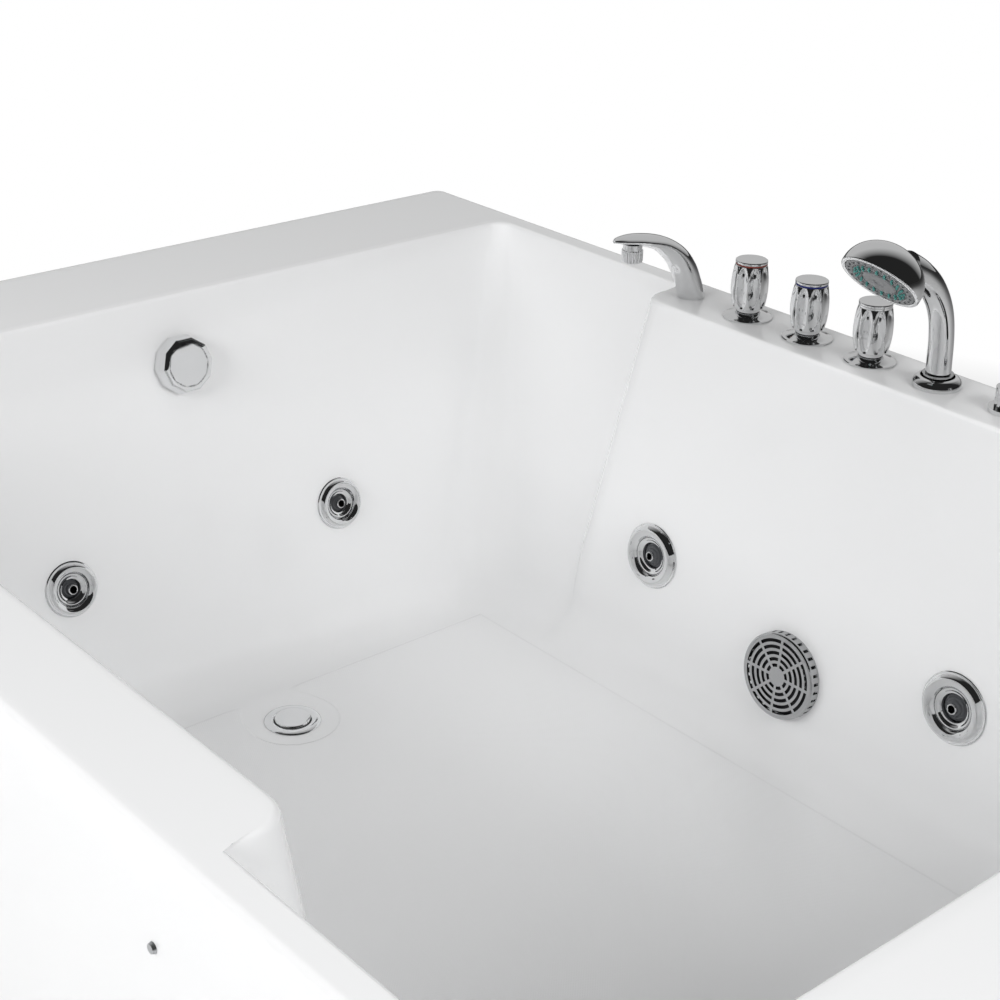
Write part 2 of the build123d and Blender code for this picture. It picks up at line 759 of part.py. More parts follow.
collar_base = ring_top_height + loose_clearance
with BuildPart() as shower_collar:
    with Locations((shower_x, deck_line_y, collar_base)):
        Cylinder(collar_flange_radius, collar_flange_height, align=(Align.CENTER, Align.CENTER, Align.MIN))
        Cylinder(collar_radius, collar_length, align=(Align.CENTER, Align.CENTER, Align.MAX))
        Cylinder(spigot_radius + loose_clearance, 3 * collar_length, mode=Mode.SUBTRACT)
shower_collar.part.label = "shower_collar"
export_step(shower_collar.part, "parts/shower_collar.step")

stem_base = collar_base + collar_flange_height + seat_gap
tilt = radians(head_tilt)
face_centre = (shower_x, deck_line_y - head_reach, rim_height + head_height)
head_plane = Plane(origin=face_centre, x_dir=(1, 0, 0), z_dir=(0, sin(tilt), cos(tilt)))
with BuildPart() as hand_shower_body:
    foot_station = (0.0, stem_base - rim_height, 0.0, stem_foot_radius)
    for reach, rise, lean, radius in (foot_station, *stem_stations):
        with BuildSketch(leaning_plane(shower_x, reach, rise, lean)):
            Circle(radius)
    loft()
    with Locations((shower_x, deck_line_y, stem_base)):
        Cylinder(spigot_radius, spigot_length, align=(Align.CENTER, Align.CENTER, Align.MAX))
    with BuildSketch(Plane(origin=face_centre, x_dir=head_plane.x_dir, z_dir=-head_plane.y_dir)):
        with BuildLine():
            Polyline((0, head_depth), (0, 0), (head_radius, 0), (head_radius, head_rim_height))
            dome_rise = head_depth - head_rim_height
            EllipticalCenterArc((0, head_rim_height), head_radius, dome_rise, start_angle=0, arc_size=90)
        make_face()
    revolve(axis=Axis(face_centre, head_plane.z_dir))
    with Locations(head_plane):
        Cylinder(face_radius + loose_clearance, 2 * face_depth, mode=Mode.SUBTRACT)
hand_shower_body.part.label = "hand_shower_body"
export_step(hand_shower_body.part, "parts/hand_shower_body.step")

with BuildPart() as shower_face:
    with Locations(head_plane):
        Cylinder(face_radius, face_depth - seat_gap, align=(Align.CENTER, Align.CENTER, Align.MIN))
        Cylinder(nozzle_ring_radius + loose_clearance, 2 * nozzle_ring_depth, mode=Mode.SUBTRACT)
shower_face.part.label = "shower_face"
export_step(shower_face.part, "parts/shower_face.step")

with BuildPart() as shower_nozzles:
    with Locations(head_plane):
        Cylinder(nozzle_ring_radius, nozzle_ring_depth, align=(Align.CENTER, Align.CENTER, Align.MIN))
shower_nozzles.part.label = "shower_nozzles"
export_step(shower_nozzles.part, "parts/shower_nozzles.step")

# Air control and air switch: flanged bodies through the deck, a turning knob and a push button
for name, x, bore in (
    ("air_control_body", air_control_x, spindle_radius + running_clearance),
    ("air_switch_body", air_switch_x, switch_button_radius + loose_clearance),
):
    with BuildPart() as air_body:
        with Locations((x, deck_line_y, rim_height)):
            Cylinder(air_flange_radius, air_flange_height, align=(Align.CENTER, Align.CENTER, Align.MIN))
            Cylinder(air_body_radius, air_body_length, align=(Align.CENTER, Align.CENTER, Align.MAX))
        with Locations((x, deck_line_y, rim_height - air_body_length)):
            Cylinder(pipe_stub_radius, tail_length, align=(Align.CENTER, Align.CENTER, Align.MAX))
        with BuildSketch(Plane.XY.offset(deck_underside - deck_nut_height)):
            with Locations((x, deck_line_y)):
                RegularPolygon(deck_nut_radius + 2, 6)
        extrude(amount=deck_nut_height)
        with Locations((x, deck_line_y, rim_height)):
            Cylinder(bore, 2 * (air_body_length - 2 * switch_button_radius), mode=Mode.SUBTRACT)
    air_body.part.label = name
    export_step(air_body.part, f"parts/{name}.step")

bore_depth = air_body_length - 2 * switch_button_radius
air_knob_base = rim_height + air_flange_height + seat_gap
with BuildPart() as air_control_knob:
    with Locations((air_control_x, deck_line_y, air_knob_base)):
        Cylinder(air_knob_radius, air_knob_height, align=(Align.CENTER, Align.CENTER, Align.MIN))
        with PolarLocations(air_knob_radius + 3, tap_flutes):
            Cylinder(5, 2 * (air_knob_height - 4), mode=Mode.SUBTRACT)
        Cylinder(spindle_radius, air_flange_height + bore_depth - 2,
                 align=(Align.CENTER, Align.CENTER, Align.MAX))
air_control_knob.part.label = "air_control_knob"
export_step(air_control_knob.part, "parts/air_control_knob.step")

button_bottom = rim_height - bore_depth + switch_travel + loose_clearance
button_top = rim_height + air_flange_height + switch_button_height
with BuildPart() as air_switch_button:
    with Locations((air_switch_x, deck_line_y, button_bottom)):
        Cylinder(switch_button_radius, button_top - button_bottom,
                 align=(Align.CENTER, Align.CENTER, Align.MIN))
    fillet(air_switch_button.edges().group_by(Axis.Z)[-1], radius=1.5)
air_switch_button.part.label = "air_switch_button"
export_step(air_switch_button.part, "parts/air_switch_button.step")

# Overflow: faceted knob in the basin, its spindle through the wall, and the body behind
with BuildPart() as overflow_knob:
    with BuildSketch(overflow_place.offset(seat_gap)):
        RegularPolygon(overflow_knob_radius, overflow_knob_facets)
    extrude(amount=overflow_knob_height * 0.6)
    with BuildSketch(overflow_place.offset(seat_gap + overflow_knob_height * 0.6)):
        RegularPolygon(overflow_knob_radius, overflow_knob_facets)
    extrude(amount=overflow_knob_height * 0.4, taper=40)
    with Locations(overflow_place.offset(seat_gap)):
        Cylinder(spindle_radius, spindle_length_below, align=(Align.CENTER, Align.CENTER, Align.MAX))
overflow_knob.part.label = "overflow_knob"
export_step(overflow_knob.part, "parts/overflow_knob.step")

overflow_back = behind(overflow_place, shell_wall)
overflow_pipe_top = rim_height - overflow_drop - overflow_pipe_drop
with BuildPart() as overflow_body:
    with Locations(overflow_back):
        Cylinder(overflow_body_radius, overflow_body_length, align=(Align.CENTER, Align.CENTER, Align.MAX))
    with Locations((overflow_pipe_x, fitting_line_y, overflow_pipe_top)):
        Cylinder(pipe_radius, overflow_body_radius + overflow_pipe_rise,
                 align=(Align.CENTER, Align.CENTER, Align.MIN))
    with Locations(overflow_back):
        Cylinder(spindle_radius + running_clearance, 2 * spindle_length_below, mode=Mode.SUBTRACT)
overflow_body.part.label = "overflow_body"
export_step(overflow_body.part, "parts/overflow_body.step")

# Drain: flange in the dished floor, lifting plug, body under the floor
dish_floor = floor_height - drain_dish_depth
with BuildPart() as drain_flange:
    with BuildSketch(Plane(origin=(drain_x, fitting_line_y, dish_floor), z_dir=(0, -1, 0), x_dir=(1, 0, 0))):
        with BuildLine():
            Polyline(
                (drain_throat_radius + 5, drain_flange_thickness),
                (drain_throat_radius, drain_flange_thickness - 1),
                (drain_throat_radius, 0),
                (drain_flange_radius, 0),
                (drain_flange_radius, 1),
            )
            ThreePointArc(
                (drain_flange_radius, 1),
                (drain_flange_radius - 3, drain_flange_thickness - 0.6),
                (drain_throat_radius + 5, drain_flange_thickness),
            )
        make_face()
    revolve(axis=Axis((drain_x, fitting_line_y, 0), (0, 0, 1)))
drain_flange.part.label = "drain_flange"
export_step(drain_flange.part, "parts/drain_flange.step")

drain_body_bottom = drain_pipe_height - pipe_radius - pipe_wall
with BuildPart() as drain_body:
    with Locations((drain_x, fitting_line_y, dish_floor)):
        Cylinder(drain_body_radius, dish_floor - drain_body_bottom,
                 align=(Align.CENTER, Align.CENTER, Align.MAX))
    with BuildSketch(Plane.YZ.offset(drain_x)):
        with Locations((fitting_line_y, drain_pipe_height)):
            Circle(pipe_radius)
    extrude(amount=-2 * drain_body_radius)
    with Locations((drain_x, fitting_line_y, dish_floor)):
        Cylinder(drain_throat_radius, dish_floor - drain_pipe_height,
                 align=(Align.CENTER, Align.CENTER, Align.MAX), mode=Mode.SUBTRACT)
    with BuildSketch(Plane.YZ.offset(drain_x)):
        with Locations((fitting_line_y, drain_pipe_height)):
            Circle(pipe_radius - pipe_wall)
    extrude(amount=-2 * drain_body_radius, mode=Mode.SUBTRACT)
    with Locations((drain_x, fitting_line_y, drain_pipe_height + pipe_radius)):
        Box(2 * drain_throat_radius + 2, pipe_wall * 2, pipe_wall * 3)
        Cylinder(drain_plug_stem_radius + 3, pipe_wall * 3)
        Cylinder(drain_plug_stem_radius + running_clearance, 60, mode=Mode.SUBTRACT)
drain_body.part.label = "drain_body"
export_step(drain_body.part, "parts/drain_body.step")

plug_bottom = dish_floor + drain_flange_thickness - 1.0
with BuildPart() as drain_plug:
    with Locations((drain_x, fitting_line_y, plug_bottom)):
        Cylinder(drain_plug_radius, drain_plug_thickness, align=(Align.CENTER, Align.CENTER, Align.MIN))
        Cylinder(drain_plug_stem_radius, plug_bottom - drain_pipe_height,
                 align=(Align.CENTER, Align.CENTER, Align.MAX))
    fillet(drain_plug.edges().group_by(Axis.Z)[-1], radius=1.2)
drain_plug.part.label = "drain_plug"
export_step(drain_plug.part, "parts/drain_plug.step")

# Overflow pipe down to the tee, the run from the drain, and the tail that leaves downwards
drain_run_start = drain_x - 2 * drain_body_radius
with BuildPart() as overflow_pipe:
    with Locations((overflow_pipe_x, fitting_line_y, tail_end_height)):
        Cylinder(pipe_radius, overflow_pipe_top - tail_end_height,
                 align=(Align.CENTER, Align.CENTER, Align.MIN))
    with Locations((overflow_pipe_x, fitting_line_y, drain_pipe_height)):
        Cylinder(pipe_radius + tee_wall, 2 * (pipe_radius + tee_overlap))
    with BuildSketch(Plane.YZ.offset(drain_run_start)):
        with Locations((fitting_line_y, drain_pipe_height)):
            Circle(pipe_radius)
    extrude(amount=overflow_pipe_x - drain_run_start)
    with Locations((overflow_pipe_x, fitting_line_y, tail_end_height)):
        Cylinder(pipe_radius - pipe_wall, overflow_pipe_top - tail_end_height - 20,
                 align=(Align.CENTER, Align.CENTER, Align.MIN), mode=Mode.SUBTRACT)
    with BuildSketch(Plane.YZ.offset(drain_run_start)):
        with Locations((fitting_line_y, drain_pipe_height)):
            Circle(pipe_radius - pipe_wall)
    extrude(amount=overflow_pipe_x - drain_run_start, mode=Mode.SUBTRACT)
overflow_pipe.part.label = "overflow_pipe"
export_step(overflow_pipe.part, "parts/overflow_pipe.step")

# Cable that turns the overflow knob's motion into the plug's lift, from body to body
cable_x = overflow_place.origin.X - cable_back
cable_y = fitting_line_y + overflow_body_radius + cable_side
with BuildPart() as drain_cable:
    with BuildLine() as route:
        FilletPolyline(
            (cable_x, fitting_line_y + overflow_body_radius, rim_height - overflow_drop - cable_drop),
            (cable_x, cable_y, rim_height - overflow_drop - cable_drop),
            (cable_x - 8, cable_y, drain_pipe_height + 6),
            (drain_x, cable_y, drain_pipe_height),
            (drain_x, fitting_line_y + drain_body_radius, drain_pipe_height),
            radius=cable_bend,
        )
    with BuildSketch(Plane(origin=route.line @ 0, z_dir=route.line % 0)):
        Circle(cable_radius)
    sweep(path=route.line)
drain_cable.part.label = "drain_cable"
export_step(drain_cable.part, "parts/drain_cable.step")


def jet_boss(place):
    """Middle of the upright boss at the rear of a jet body, where the pipes join."""
    return behind(place, jet_body_length - jet_boss_inset).origin


# Jets: body through the wall, bezel on its face, turning ring in the bezel, swivelling nozzle in the ring
def jet_parts(place, size):
    """Body, bezel, ring and nozzle of one jet, on the plane of its wall."""
    outer, bore = size
    tube = bore + jet_tube_wall
    ring_outer = bore - loose_clearance
    ring_inner = ring_outer - jet_ring_wall
    ball = ring_inner - loose_clearance
    axis = Axis(place.origin, place.z_dir)
    section = Plane(origin=place.origin, x_dir=place.x_dir, z_dir=-place.y_dir)
    ball_depth = nozzle_length / 2
    with BuildPart() as body:
        with Locations(place):
            Cylinder(tube, jet_tube_depth, align=(Align.CENTER, Align.CENTER, Align.MAX))
        with Locations(behind(place, shell_wall + seat_gap)):
            Cylinder(tube + jet_nut_step, jet_nut_thickness, align=(Align.CENTER, Align.CENTER, Align.MAX))
        with Locations(behind(place, jet_tube_depth)):
            Cylinder(jet_rear_radius, jet_body_length - jet_tube_depth,
                     align=(Align.CENTER, Align.CENTER, Align.MAX))
        with Locations(tuple(jet_boss(place))):
            Cylinder(jet_boss_radius, 2 * jet_boss_reach)
        with Locations(place):
            Cylinder(bore, 2 * jet_ring_depth, mode=Mode.SUBTRACT)
            Cylinder(ring_inner, 2 * (jet_tube_depth + seat_gap), mode=Mode.SUBTRACT)
    with BuildPart() as bezel:
        with BuildSketch(section):
            with BuildLine():
                Polyline((outer, 2), (outer, 0), (bore, 0), (bore, bezel_height - 3))
                ThreePointArc(
                    (bore, bezel_height - 3),
                    ((outer + bore) / 2, bezel_height),
                    (outer, 2),
                )
            make_face()
        revolve(axis=axis)
    with BuildPart() as ring:
        with Locations(behind(place, jet_ring_depth - seat_gap)):
            Cylinder(ring_outer, jet_ring_depth + jet_ring_proud,
                     align=(Align.CENTER, Align.CENTER, Align.MIN))
        with Locations(place):
            Cylinder(ring_inner, 6 * jet_ring_depth, mode=Mode.SUBTRACT)
    with BuildPart() as nozzle:
        with BuildSketch(section):
            with BuildLine():
                Polyline(
                    (0, -nozzle_length),
                    (0, nozzle_nose),
                    (nozzle_bore_radius + 1, nozzle_nose),
                    (0.55 * ball, nozzle_nose / 2),
                    (ball - 0.6, 4 - ball_depth),
                )
                ThreePointArc((ball - 0.6, 4 - ball_depth), (ball, -ball_depth),
                              (ball - 0.6, -4 - ball_depth))
                Polyline((ball - 0.6, -4 - ball_depth), (0.5 * ball, -nozzle_length), (0, -nozzle_length))
            make_face()
        revolve(axis=axis)
        with Locations(place.offset(nozzle_nose)):
            Cylinder(nozzle_bore_radius, 2 * nozzle_length, mode=Mode.SUBTRACT)
    return body.part, bezel.part, ring.part, nozzle.part


with BuildPart() as jet_bodies:
    for place, size in jets.values():
        add(jet_parts(place, size)[0])
jet_bodies.part.label = "jet_bodies"
export_step(jet_bodies.part, "parts/jet_bodies.step")

with BuildPart() as jet_bezels:
    for place, size in jets.values():
        add(jet_parts(place, size)[1])
jet_bezels.part.label = "jet_bezels"
export_step(jet_bezels.part, "parts/jet_bezels.step")

for name, (place, size) in jets.items():
    ring, nozzle = jet_parts(place, size)[2:]
    ring.label = f"jet_ring_{name}"
    export_step(ring, f"parts/jet_ring_{name}.step")
    nozzle.label = f"jet_nozzle_{name}"
    export_step(nozzle, f"parts/jet_nozzle_{name}.step")

# Suction fitting: slotted cover in the basin and the cup behind the wall
with BuildPart() as suction_cover:
    with Locations(suction_place):
        Cylinder(suction_radius, suction_height, align=(Align.CENTER, Align.CENTER, Align.MIN))
    front = suction_cover.faces().sort_by(Axis(suction_place.origin, suction_place.z_dir))[-1]
    fillet(front.edges(), radius=3)
    with Locations(suction_place):
        Cylinder(suction_radius - suction_skin, 2 * (suction_height - suction_skin), mode=Mode.SUBTRACT)
    with BuildSketch(suction_place.offset(suction_height)):
        for n in reversed(range(suction_slot_rings)):
            middle = suction_first_slot + n * suction_slot_pitch
            Circle(middle + suction_slot_width / 2)
            Circle(middle - suction_slot_width / 2, mode=Mode.SUBTRACT)
        with PolarLocations(suction_radius / 2, suction_spokes):
            Rectangle(suction_radius, suction_spoke_width, mode=Mode.SUBTRACT)
    extrude(amount=-1.5 * suction_skin, mode=Mode.SUBTRACT)
    with Locations(suction_place.offset(suction_height / 2 - 1)):
        with PolarLocations(suction_radius, suction_side_slots):
            Box(4 * suction_skin, suction_side_slot_width, suction_height - 6, mode=Mode.SUBTRACT)
suction_cover.part.label = "suction_cover"
export_step(suction_cover.part, "parts/suction_cover.step")

suction_rear = behind(suction_place, suction_body_depth).origin
with BuildPart() as suction_body:
    with Locations(suction_place):
        Cylinder(suction_body_radius, suction_body_depth, align=(Align.CENTER, Align.CENTER, Align.MAX))
    with Locations(behind(suction_place, shell_wall + seat_gap)):
        Cylinder(suction_body_radius + 9, 8, align=(Align.CENTER, Align.CENTER, Align.MAX))
    with Locations((fitting_line_x, suction_run_y, suction_boss_end)):
        Cylinder(suction_pipe_radius - 2, suction_place.origin.Z - suction_boss_end,
                 align=(Align.CENTER, Align.CENTER, Align.MIN))
    with Locations(suction_place):
        Cylinder(suction_body_radius - 4, 2 * (suction_body_depth - 5), mode=Mode.SUBTRACT)
suction_body.part.label = "suction_body"
export_step(suction_body.part, "parts/suction_body.step")

# Pump: motor on its foot, volute on the motor's face, impeller on the shaft between them
volute_start_y = motor_start_y + motor_length
volute_end_y = volute_start_y + volute_width
pump_board_top = rail_top + board_thickness
inlet_face_y = volute_end_y + 14.0
outlet_face_z = pump_axis_height + volute_radius + 14.0


def along_y(radius, start, end, mode=Mode.ADD):
    """A round bar or bore on the pump's axis between two places along Y."""
    with Locations(Plane(origin=(pump_x, start, pump_axis_height), x_dir=(1, 0, 0), z_dir=(0, 1, 0))):
        Cylinder(radius, end - start, align=(Align.CENTER, Align.CENTER, Align.MIN), mode=mode)


with BuildPart() as pump_motor:
    along_y(motor_radius, motor_start_y, volute_start_y)
    foot_height = pump_axis_height - motor_radius / 2 - pump_board_top
    with Locations((pump_x, (motor_start_y + volute_start_y) / 2, pump_board_top)):
        Box(pump_foot_width, motor_length * 0.6, foot_height, align=(Align.CENTER, Align.CENTER, Align.MIN))
    along_y(shaft_radius + running_clearance, motor_start_y + 20, volute_start_y, mode=Mode.SUBTRACT)
pump_motor.part.label = "pump_motor"
export_step(pump_motor.part, "parts/pump_motor.step")

with BuildPart() as pump_volute:
    along_y(volute_radius, volute_start_y, volute_end_y)
    along_y(pump_inlet_radius, volute_end_y, inlet_face_y)
    with Locations((pump_x + pump_outlet_shift, (volute_start_y + volute_end_y) / 2, outlet_face_z)):
        Cylinder(pump_outlet_radius, outlet_face_z - pump_axis_height,
                 align=(Align.CENTER, Align.CENTER, Align.MAX))
    along_y(volute_radius - volute_skin, volute_start_y + volute_skin, volute_end_y - volute_skin,
            mode=Mode.SUBTRACT)
    along_y(pump_inlet_radius - 5, volute_end_y - volute_skin - 1, inlet_face_y, mode=Mode.SUBTRACT)
    along_y(shaft_radius + running_clearance, volute_start_y, volute_start_y + volute_skin + 1,
            mode=Mode.SUBTRACT)
    with Locations((pump_x + pump_outlet_shift, (volute_start_y + volute_end_y) / 2, outlet_face_z)):
        Cylinder(pump_outlet_radius - 5, outlet_face_z - pump_axis_height - 10,
                 align=(Align.CENTER, Align.CENTER, Align.MAX), mode=Mode.SUBTRACT)
pump_volute.part.label = "pump_volute"
export_step(pump_volute.part, "parts/pump_volute.step")

with BuildPart() as pump_impeller:
    impeller_start = volute_start_y + volute_skin + 6
    along_y(shaft_radius, motor_start_y + 30, impeller_start + impeller_width)
    along_y(impeller_radius, impeller_start, impeller_start + impeller_width / 4)
    vane_plane = Plane(origin=(pump_x, impeller_start, pump_axis_height), x_dir=(1, 0, 0), z_dir=(0, 1, 0))
    with BuildSketch(vane_plane):
        with PolarLocations(impeller_radius / 2 + shaft_radius / 2 - 1, impeller_vanes):
            Rectangle(impeller_radius - shaft_radius, 3)
    extrude(amount=impeller_width)
pump_impeller.part.label = "pump_impeller"
export_step(pump_impeller.part, "parts/pump_impeller.step")


def pipe_run(radius, bend, *points):
    """A round pipe along straight runs joined by bends of one radius."""
    with BuildLine() as route:
        FilletPolyline(*points, radius=bend)
    with BuildSketch(Plane(origin=route.line @ 0, z_dir=route.line % 0)) as bore:
        Circle(radius)
    sweep(bore.sketch, path=route.line)


def jet_stubs(height):
    """Vertical stubs from a pipe run at a height to the bosses of the jet bodies."""
    for place, size in jets.values():
        boss = jet_boss(place)
        end = boss.Z - jet_boss_reach if height < boss.Z else boss.Z + jet_boss_reach
        with Locations((boss.X, boss.Y, height)):
            Cylinder(pipe_stub_radius, abs(end - height),
                     align=(Align.CENTER, Align.CENTER, Align.MIN if height < end else Align.MAX))


last_jet_x = fitting_line_x + half_side
volute_mid_y = (volute_start_y + volute_end_y) / 2
outlet_x = pump_x + pump_outlet_shift
with BuildPart() as water_pipes:
    pipe_run(
        water_pipe_radius,
        pipe_bend,
        (outlet_x, volute_mid_y, outlet_face_z),
        (outlet_x, volute_mid_y, outlet_face_z + pipe_bend + 8),
        (outlet_x, pipe_run_y, outlet_face_z + pipe_bend + 8),
        (outlet_x - 95, pipe_run_y, water_pipe_height),
        (end_pipe_x, pipe_run_y, water_pipe_height),
        (end_pipe_x, -pipe_run_y, water_pipe_height),
        (last_jet_x + 2 * water_pipe_radius, -pipe_run_y, water_pipe_height),
    )
    jet_stubs(water_pipe_height)
water_pipes.part.label = "water_pipes"
export_step(water_pipes.part, "parts/water_pipes.step")

air_tail_end = rim_height - air_body_length - tail_length
with BuildPart() as air_pipes:
    pipe_run(
        air_pipe_radius,
        pipe_bend,
        (last_jet_x + 2 * air_pipe_radius, pipe_run_y, air_pipe_height),
        (end_pipe_x, pipe_run_y, air_pipe_height),
        (end_pipe_x, -pipe_run_y, air_pipe_height),
        (last_jet_x + 2 * air_pipe_radius, -pipe_run_y, air_pipe_height),
    )
    pipe_run(
        air_pipe_radius - 1,
        pipe_bend,
        (air_control_x, deck_line_y, air_tail_end),
        (air_control_x, deck_line_y, air_tail_end - 60),
        (air_control_x, pipe_run_y, air_tail_end - 120),
        (air_control_x, pipe_run_y, air_pipe_height),
    )
    jet_stubs(air_pipe_height)
air_pipes.part.label = "air_pipes"
export_step(air_pipes.part, "parts/air_pipes.step")

with BuildPart() as suction_pipe:
    pipe_run(
        suction_pipe_radius,
        2 * pipe_bend,
        (fitting_line_x - suction_pipe_radius - 4, suction_run_y, suction_pipe_height),
        (outlet_x - 225, suction_run_y, suction_pipe_height),
        (pump_x, suction_run_y, pump_axis_height),
        (pump_x, inlet_face_y, pump_axis_height),
    )
    with Locations((fitting_line_x, suction_run_y, suction_pipe_height)):
        Cylinder(suction_pipe_radius - 2, suction_boss_end - suction_pipe_height,
                 align=(Align.CENTER, Align.CENTER, Align.MIN))
suction_pipe.part.label = "suction_pipe"
export_step(suction_pipe.part, "parts/suction_pipe.step")
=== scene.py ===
"""Jetted bathtub: finishes, detailed fittings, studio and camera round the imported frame."""

import logging
import math
from dataclasses import dataclass, field
from enum import Enum
from typing import Any, Callable, Sequence, Union

import bpy
import numpy as np
from mathutils import Matrix, Vector


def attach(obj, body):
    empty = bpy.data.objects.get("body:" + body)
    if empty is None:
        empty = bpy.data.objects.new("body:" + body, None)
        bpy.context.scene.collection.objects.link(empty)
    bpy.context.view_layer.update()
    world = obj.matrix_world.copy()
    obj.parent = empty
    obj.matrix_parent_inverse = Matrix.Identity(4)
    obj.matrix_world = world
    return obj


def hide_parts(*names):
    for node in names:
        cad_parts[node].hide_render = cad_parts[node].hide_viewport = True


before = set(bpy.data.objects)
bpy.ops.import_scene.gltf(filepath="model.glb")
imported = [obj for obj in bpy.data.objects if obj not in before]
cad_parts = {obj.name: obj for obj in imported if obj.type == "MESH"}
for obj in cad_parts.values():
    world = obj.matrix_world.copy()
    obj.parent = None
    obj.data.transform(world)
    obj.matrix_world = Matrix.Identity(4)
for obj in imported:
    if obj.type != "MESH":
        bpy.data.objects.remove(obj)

log = logging.getLogger("bathtub")
MM = 0.001
TURN = 2.0 * math.pi
Number = Union[int, float]


# Shader maths


class Signal:
    """A shader socket that does arithmetic: every operator adds the Math node it stands for."""

    def __init__(self, recipe: "Recipe", socket: bpy.types.NodeSocket) -> None:
        """Wraps a socket of a recipe's tree."""
        self.recipe = recipe
        self.socket = socket

    def math(self, operation: str, *others: Any, first: bool = True) -> "Signal":
        """Adds a Math node.

        Args:
            operation: the Math node's operation.
            others: the other values or signals.
            first: whether this signal is the node's first input.

        Returns:
            The node's output.
        """
        values = [self, *others] if first else [*others, self]
        node = self.recipe.node("ShaderNodeMath", {"operation": operation}, dict(enumerate(values)))
        return Signal(self.recipe, node.outputs[0])

    def __add__(self, other: Any) -> "Signal":
        """Sum."""
        return self.math("ADD", other)

    __radd__ = __add__

    def __mul__(self, other: Any) -> "Signal":
        """Product."""
        return self.math("MULTIPLY", other)

    __rmul__ = __mul__

    def __sub__(self, other: Any) -> "Signal":
        """Difference."""
        return self.math("SUBTRACT", other)

    def __rsub__(self, other: Any) -> "Signal":
        """Difference from a number."""
        return self.math("SUBTRACT", other, first=False)

    def absolute(self) -> "Signal":
        """The value without its sign."""
        return self.math("ABSOLUTE")

    def above(self, limit: Number, width: Number) -> "Signal":
        """A soft step: 0 below the limit, 1 above it, over a width."""
        return ((self - limit) * (1.0 / width) + 0.5).clamped()

    def clamped(self) -> "Signal":
        """The value held between 0 and 1."""
        node = self.recipe.node("ShaderNodeClamp", {}, {"Value": self})
        return Signal(self.recipe, node.outputs[0])


class Recipe:
    """A node tree of a material or a world, with a single way to add a node to it."""

    def __init__(self, owner: Union[bpy.types.Material, bpy.types.World]) -> None:
        """Empties the node tree of a material or a world.

        Args:
            owner: the material or world.
        """
        self.owner = owner
        owner.use_nodes = True
        self.tree = owner.node_tree
        self.tree.nodes.clear()

    def node(self, kind: str, settings: dict[str, Any], inputs: dict[Any, Any]) -> bpy.types.Node:
        """Adds a node.

        Args:
            kind: the node's type.
            settings: properties that are set before the sockets; "stops" fills a colour ramp.
            inputs: socket name or number to a value, a signal or a socket.

        Returns:
            The node.
        """
        node = self.tree.nodes.new(kind)
        for key, value in settings.items():
            if key == "stops":
                ramp = node.color_ramp
                ramp.elements[0].position, ramp.elements[0].color = value[0]
                ramp.elements[-1].position, ramp.elements[-1].color = value[-1]
                for position, colour in value[1:-1]:
                    ramp.elements.new(position).color = colour
            else:
                setattr(node, key, value)
        for key, value in inputs.items():
            socket = node.inputs[key]
            if isinstance(value, Signal):
                self.tree.links.new(value.socket, socket)
            elif isinstance(value, bpy.types.NodeSocket):
                self.tree.links.new(value, socket)
            else:
                socket.default_value = value
        return node

    def place(self) -> bpy.types.NodeSocket:
        """The object coordinates, in metres."""
        return self.node("ShaderNodeTexCoord", {}, {}).outputs["Object"]

    def axes(self) -> list[Signal]:
        """The three object coordinates as signals."""
        split = self.node("ShaderNodeSeparateXYZ", {}, {0: self.place()})
        return [Signal(self, out) for out in split.outputs]

    def noise(self, scale: Number, detail: Number = 2.0) -> Signal:
        """Noise on the object coordinates, about 0.5."""
        node = self.node("ShaderNodeTexNoise", {}, {"Vector": self.place(), "Scale": scale, "Detail": detail})
        return Signal(self, node.outputs["Fac"])

    def blend(self, mask: Signal, low: Sequence[float], high: Sequence[float]) -> bpy.types.NodeSocket:
        """A colour between two, by a mask."""
        mix = self.node("ShaderNodeMix", {"data_type": "RGBA"}, {"Factor": mask, 6: (*low, 1.0), 7: (*high, 1.0)})
        return mix.outputs[2]

    def bump(self, height: Signal, depth: Number, strength: Number = 1.0) -> bpy.types.NodeSocket:
        """A normal bent by a height, whose depth is in metres."""
        node = self.node("ShaderNodeBump", {}, {"Height": height, "Distance": depth, "Strength": strength})
        return node.outputs[0]

    def surface(self, **inputs: Any) -> bpy.types.Material:
        """Ends the tree in a Principled shader.

        Args:
            inputs: the shader's sockets, with spaces written as underscores.

        Returns:
            The material.
        """
        sockets = {key.replace("_", " "): value for key, value in inputs.items()}
        shader = self.node("ShaderNodeBsdfPrincipled", {}, sockets)
        self.node("ShaderNodeOutputMaterial", {}, {"Surface": shader.outputs[0]})
        return self.owner


# Finishes


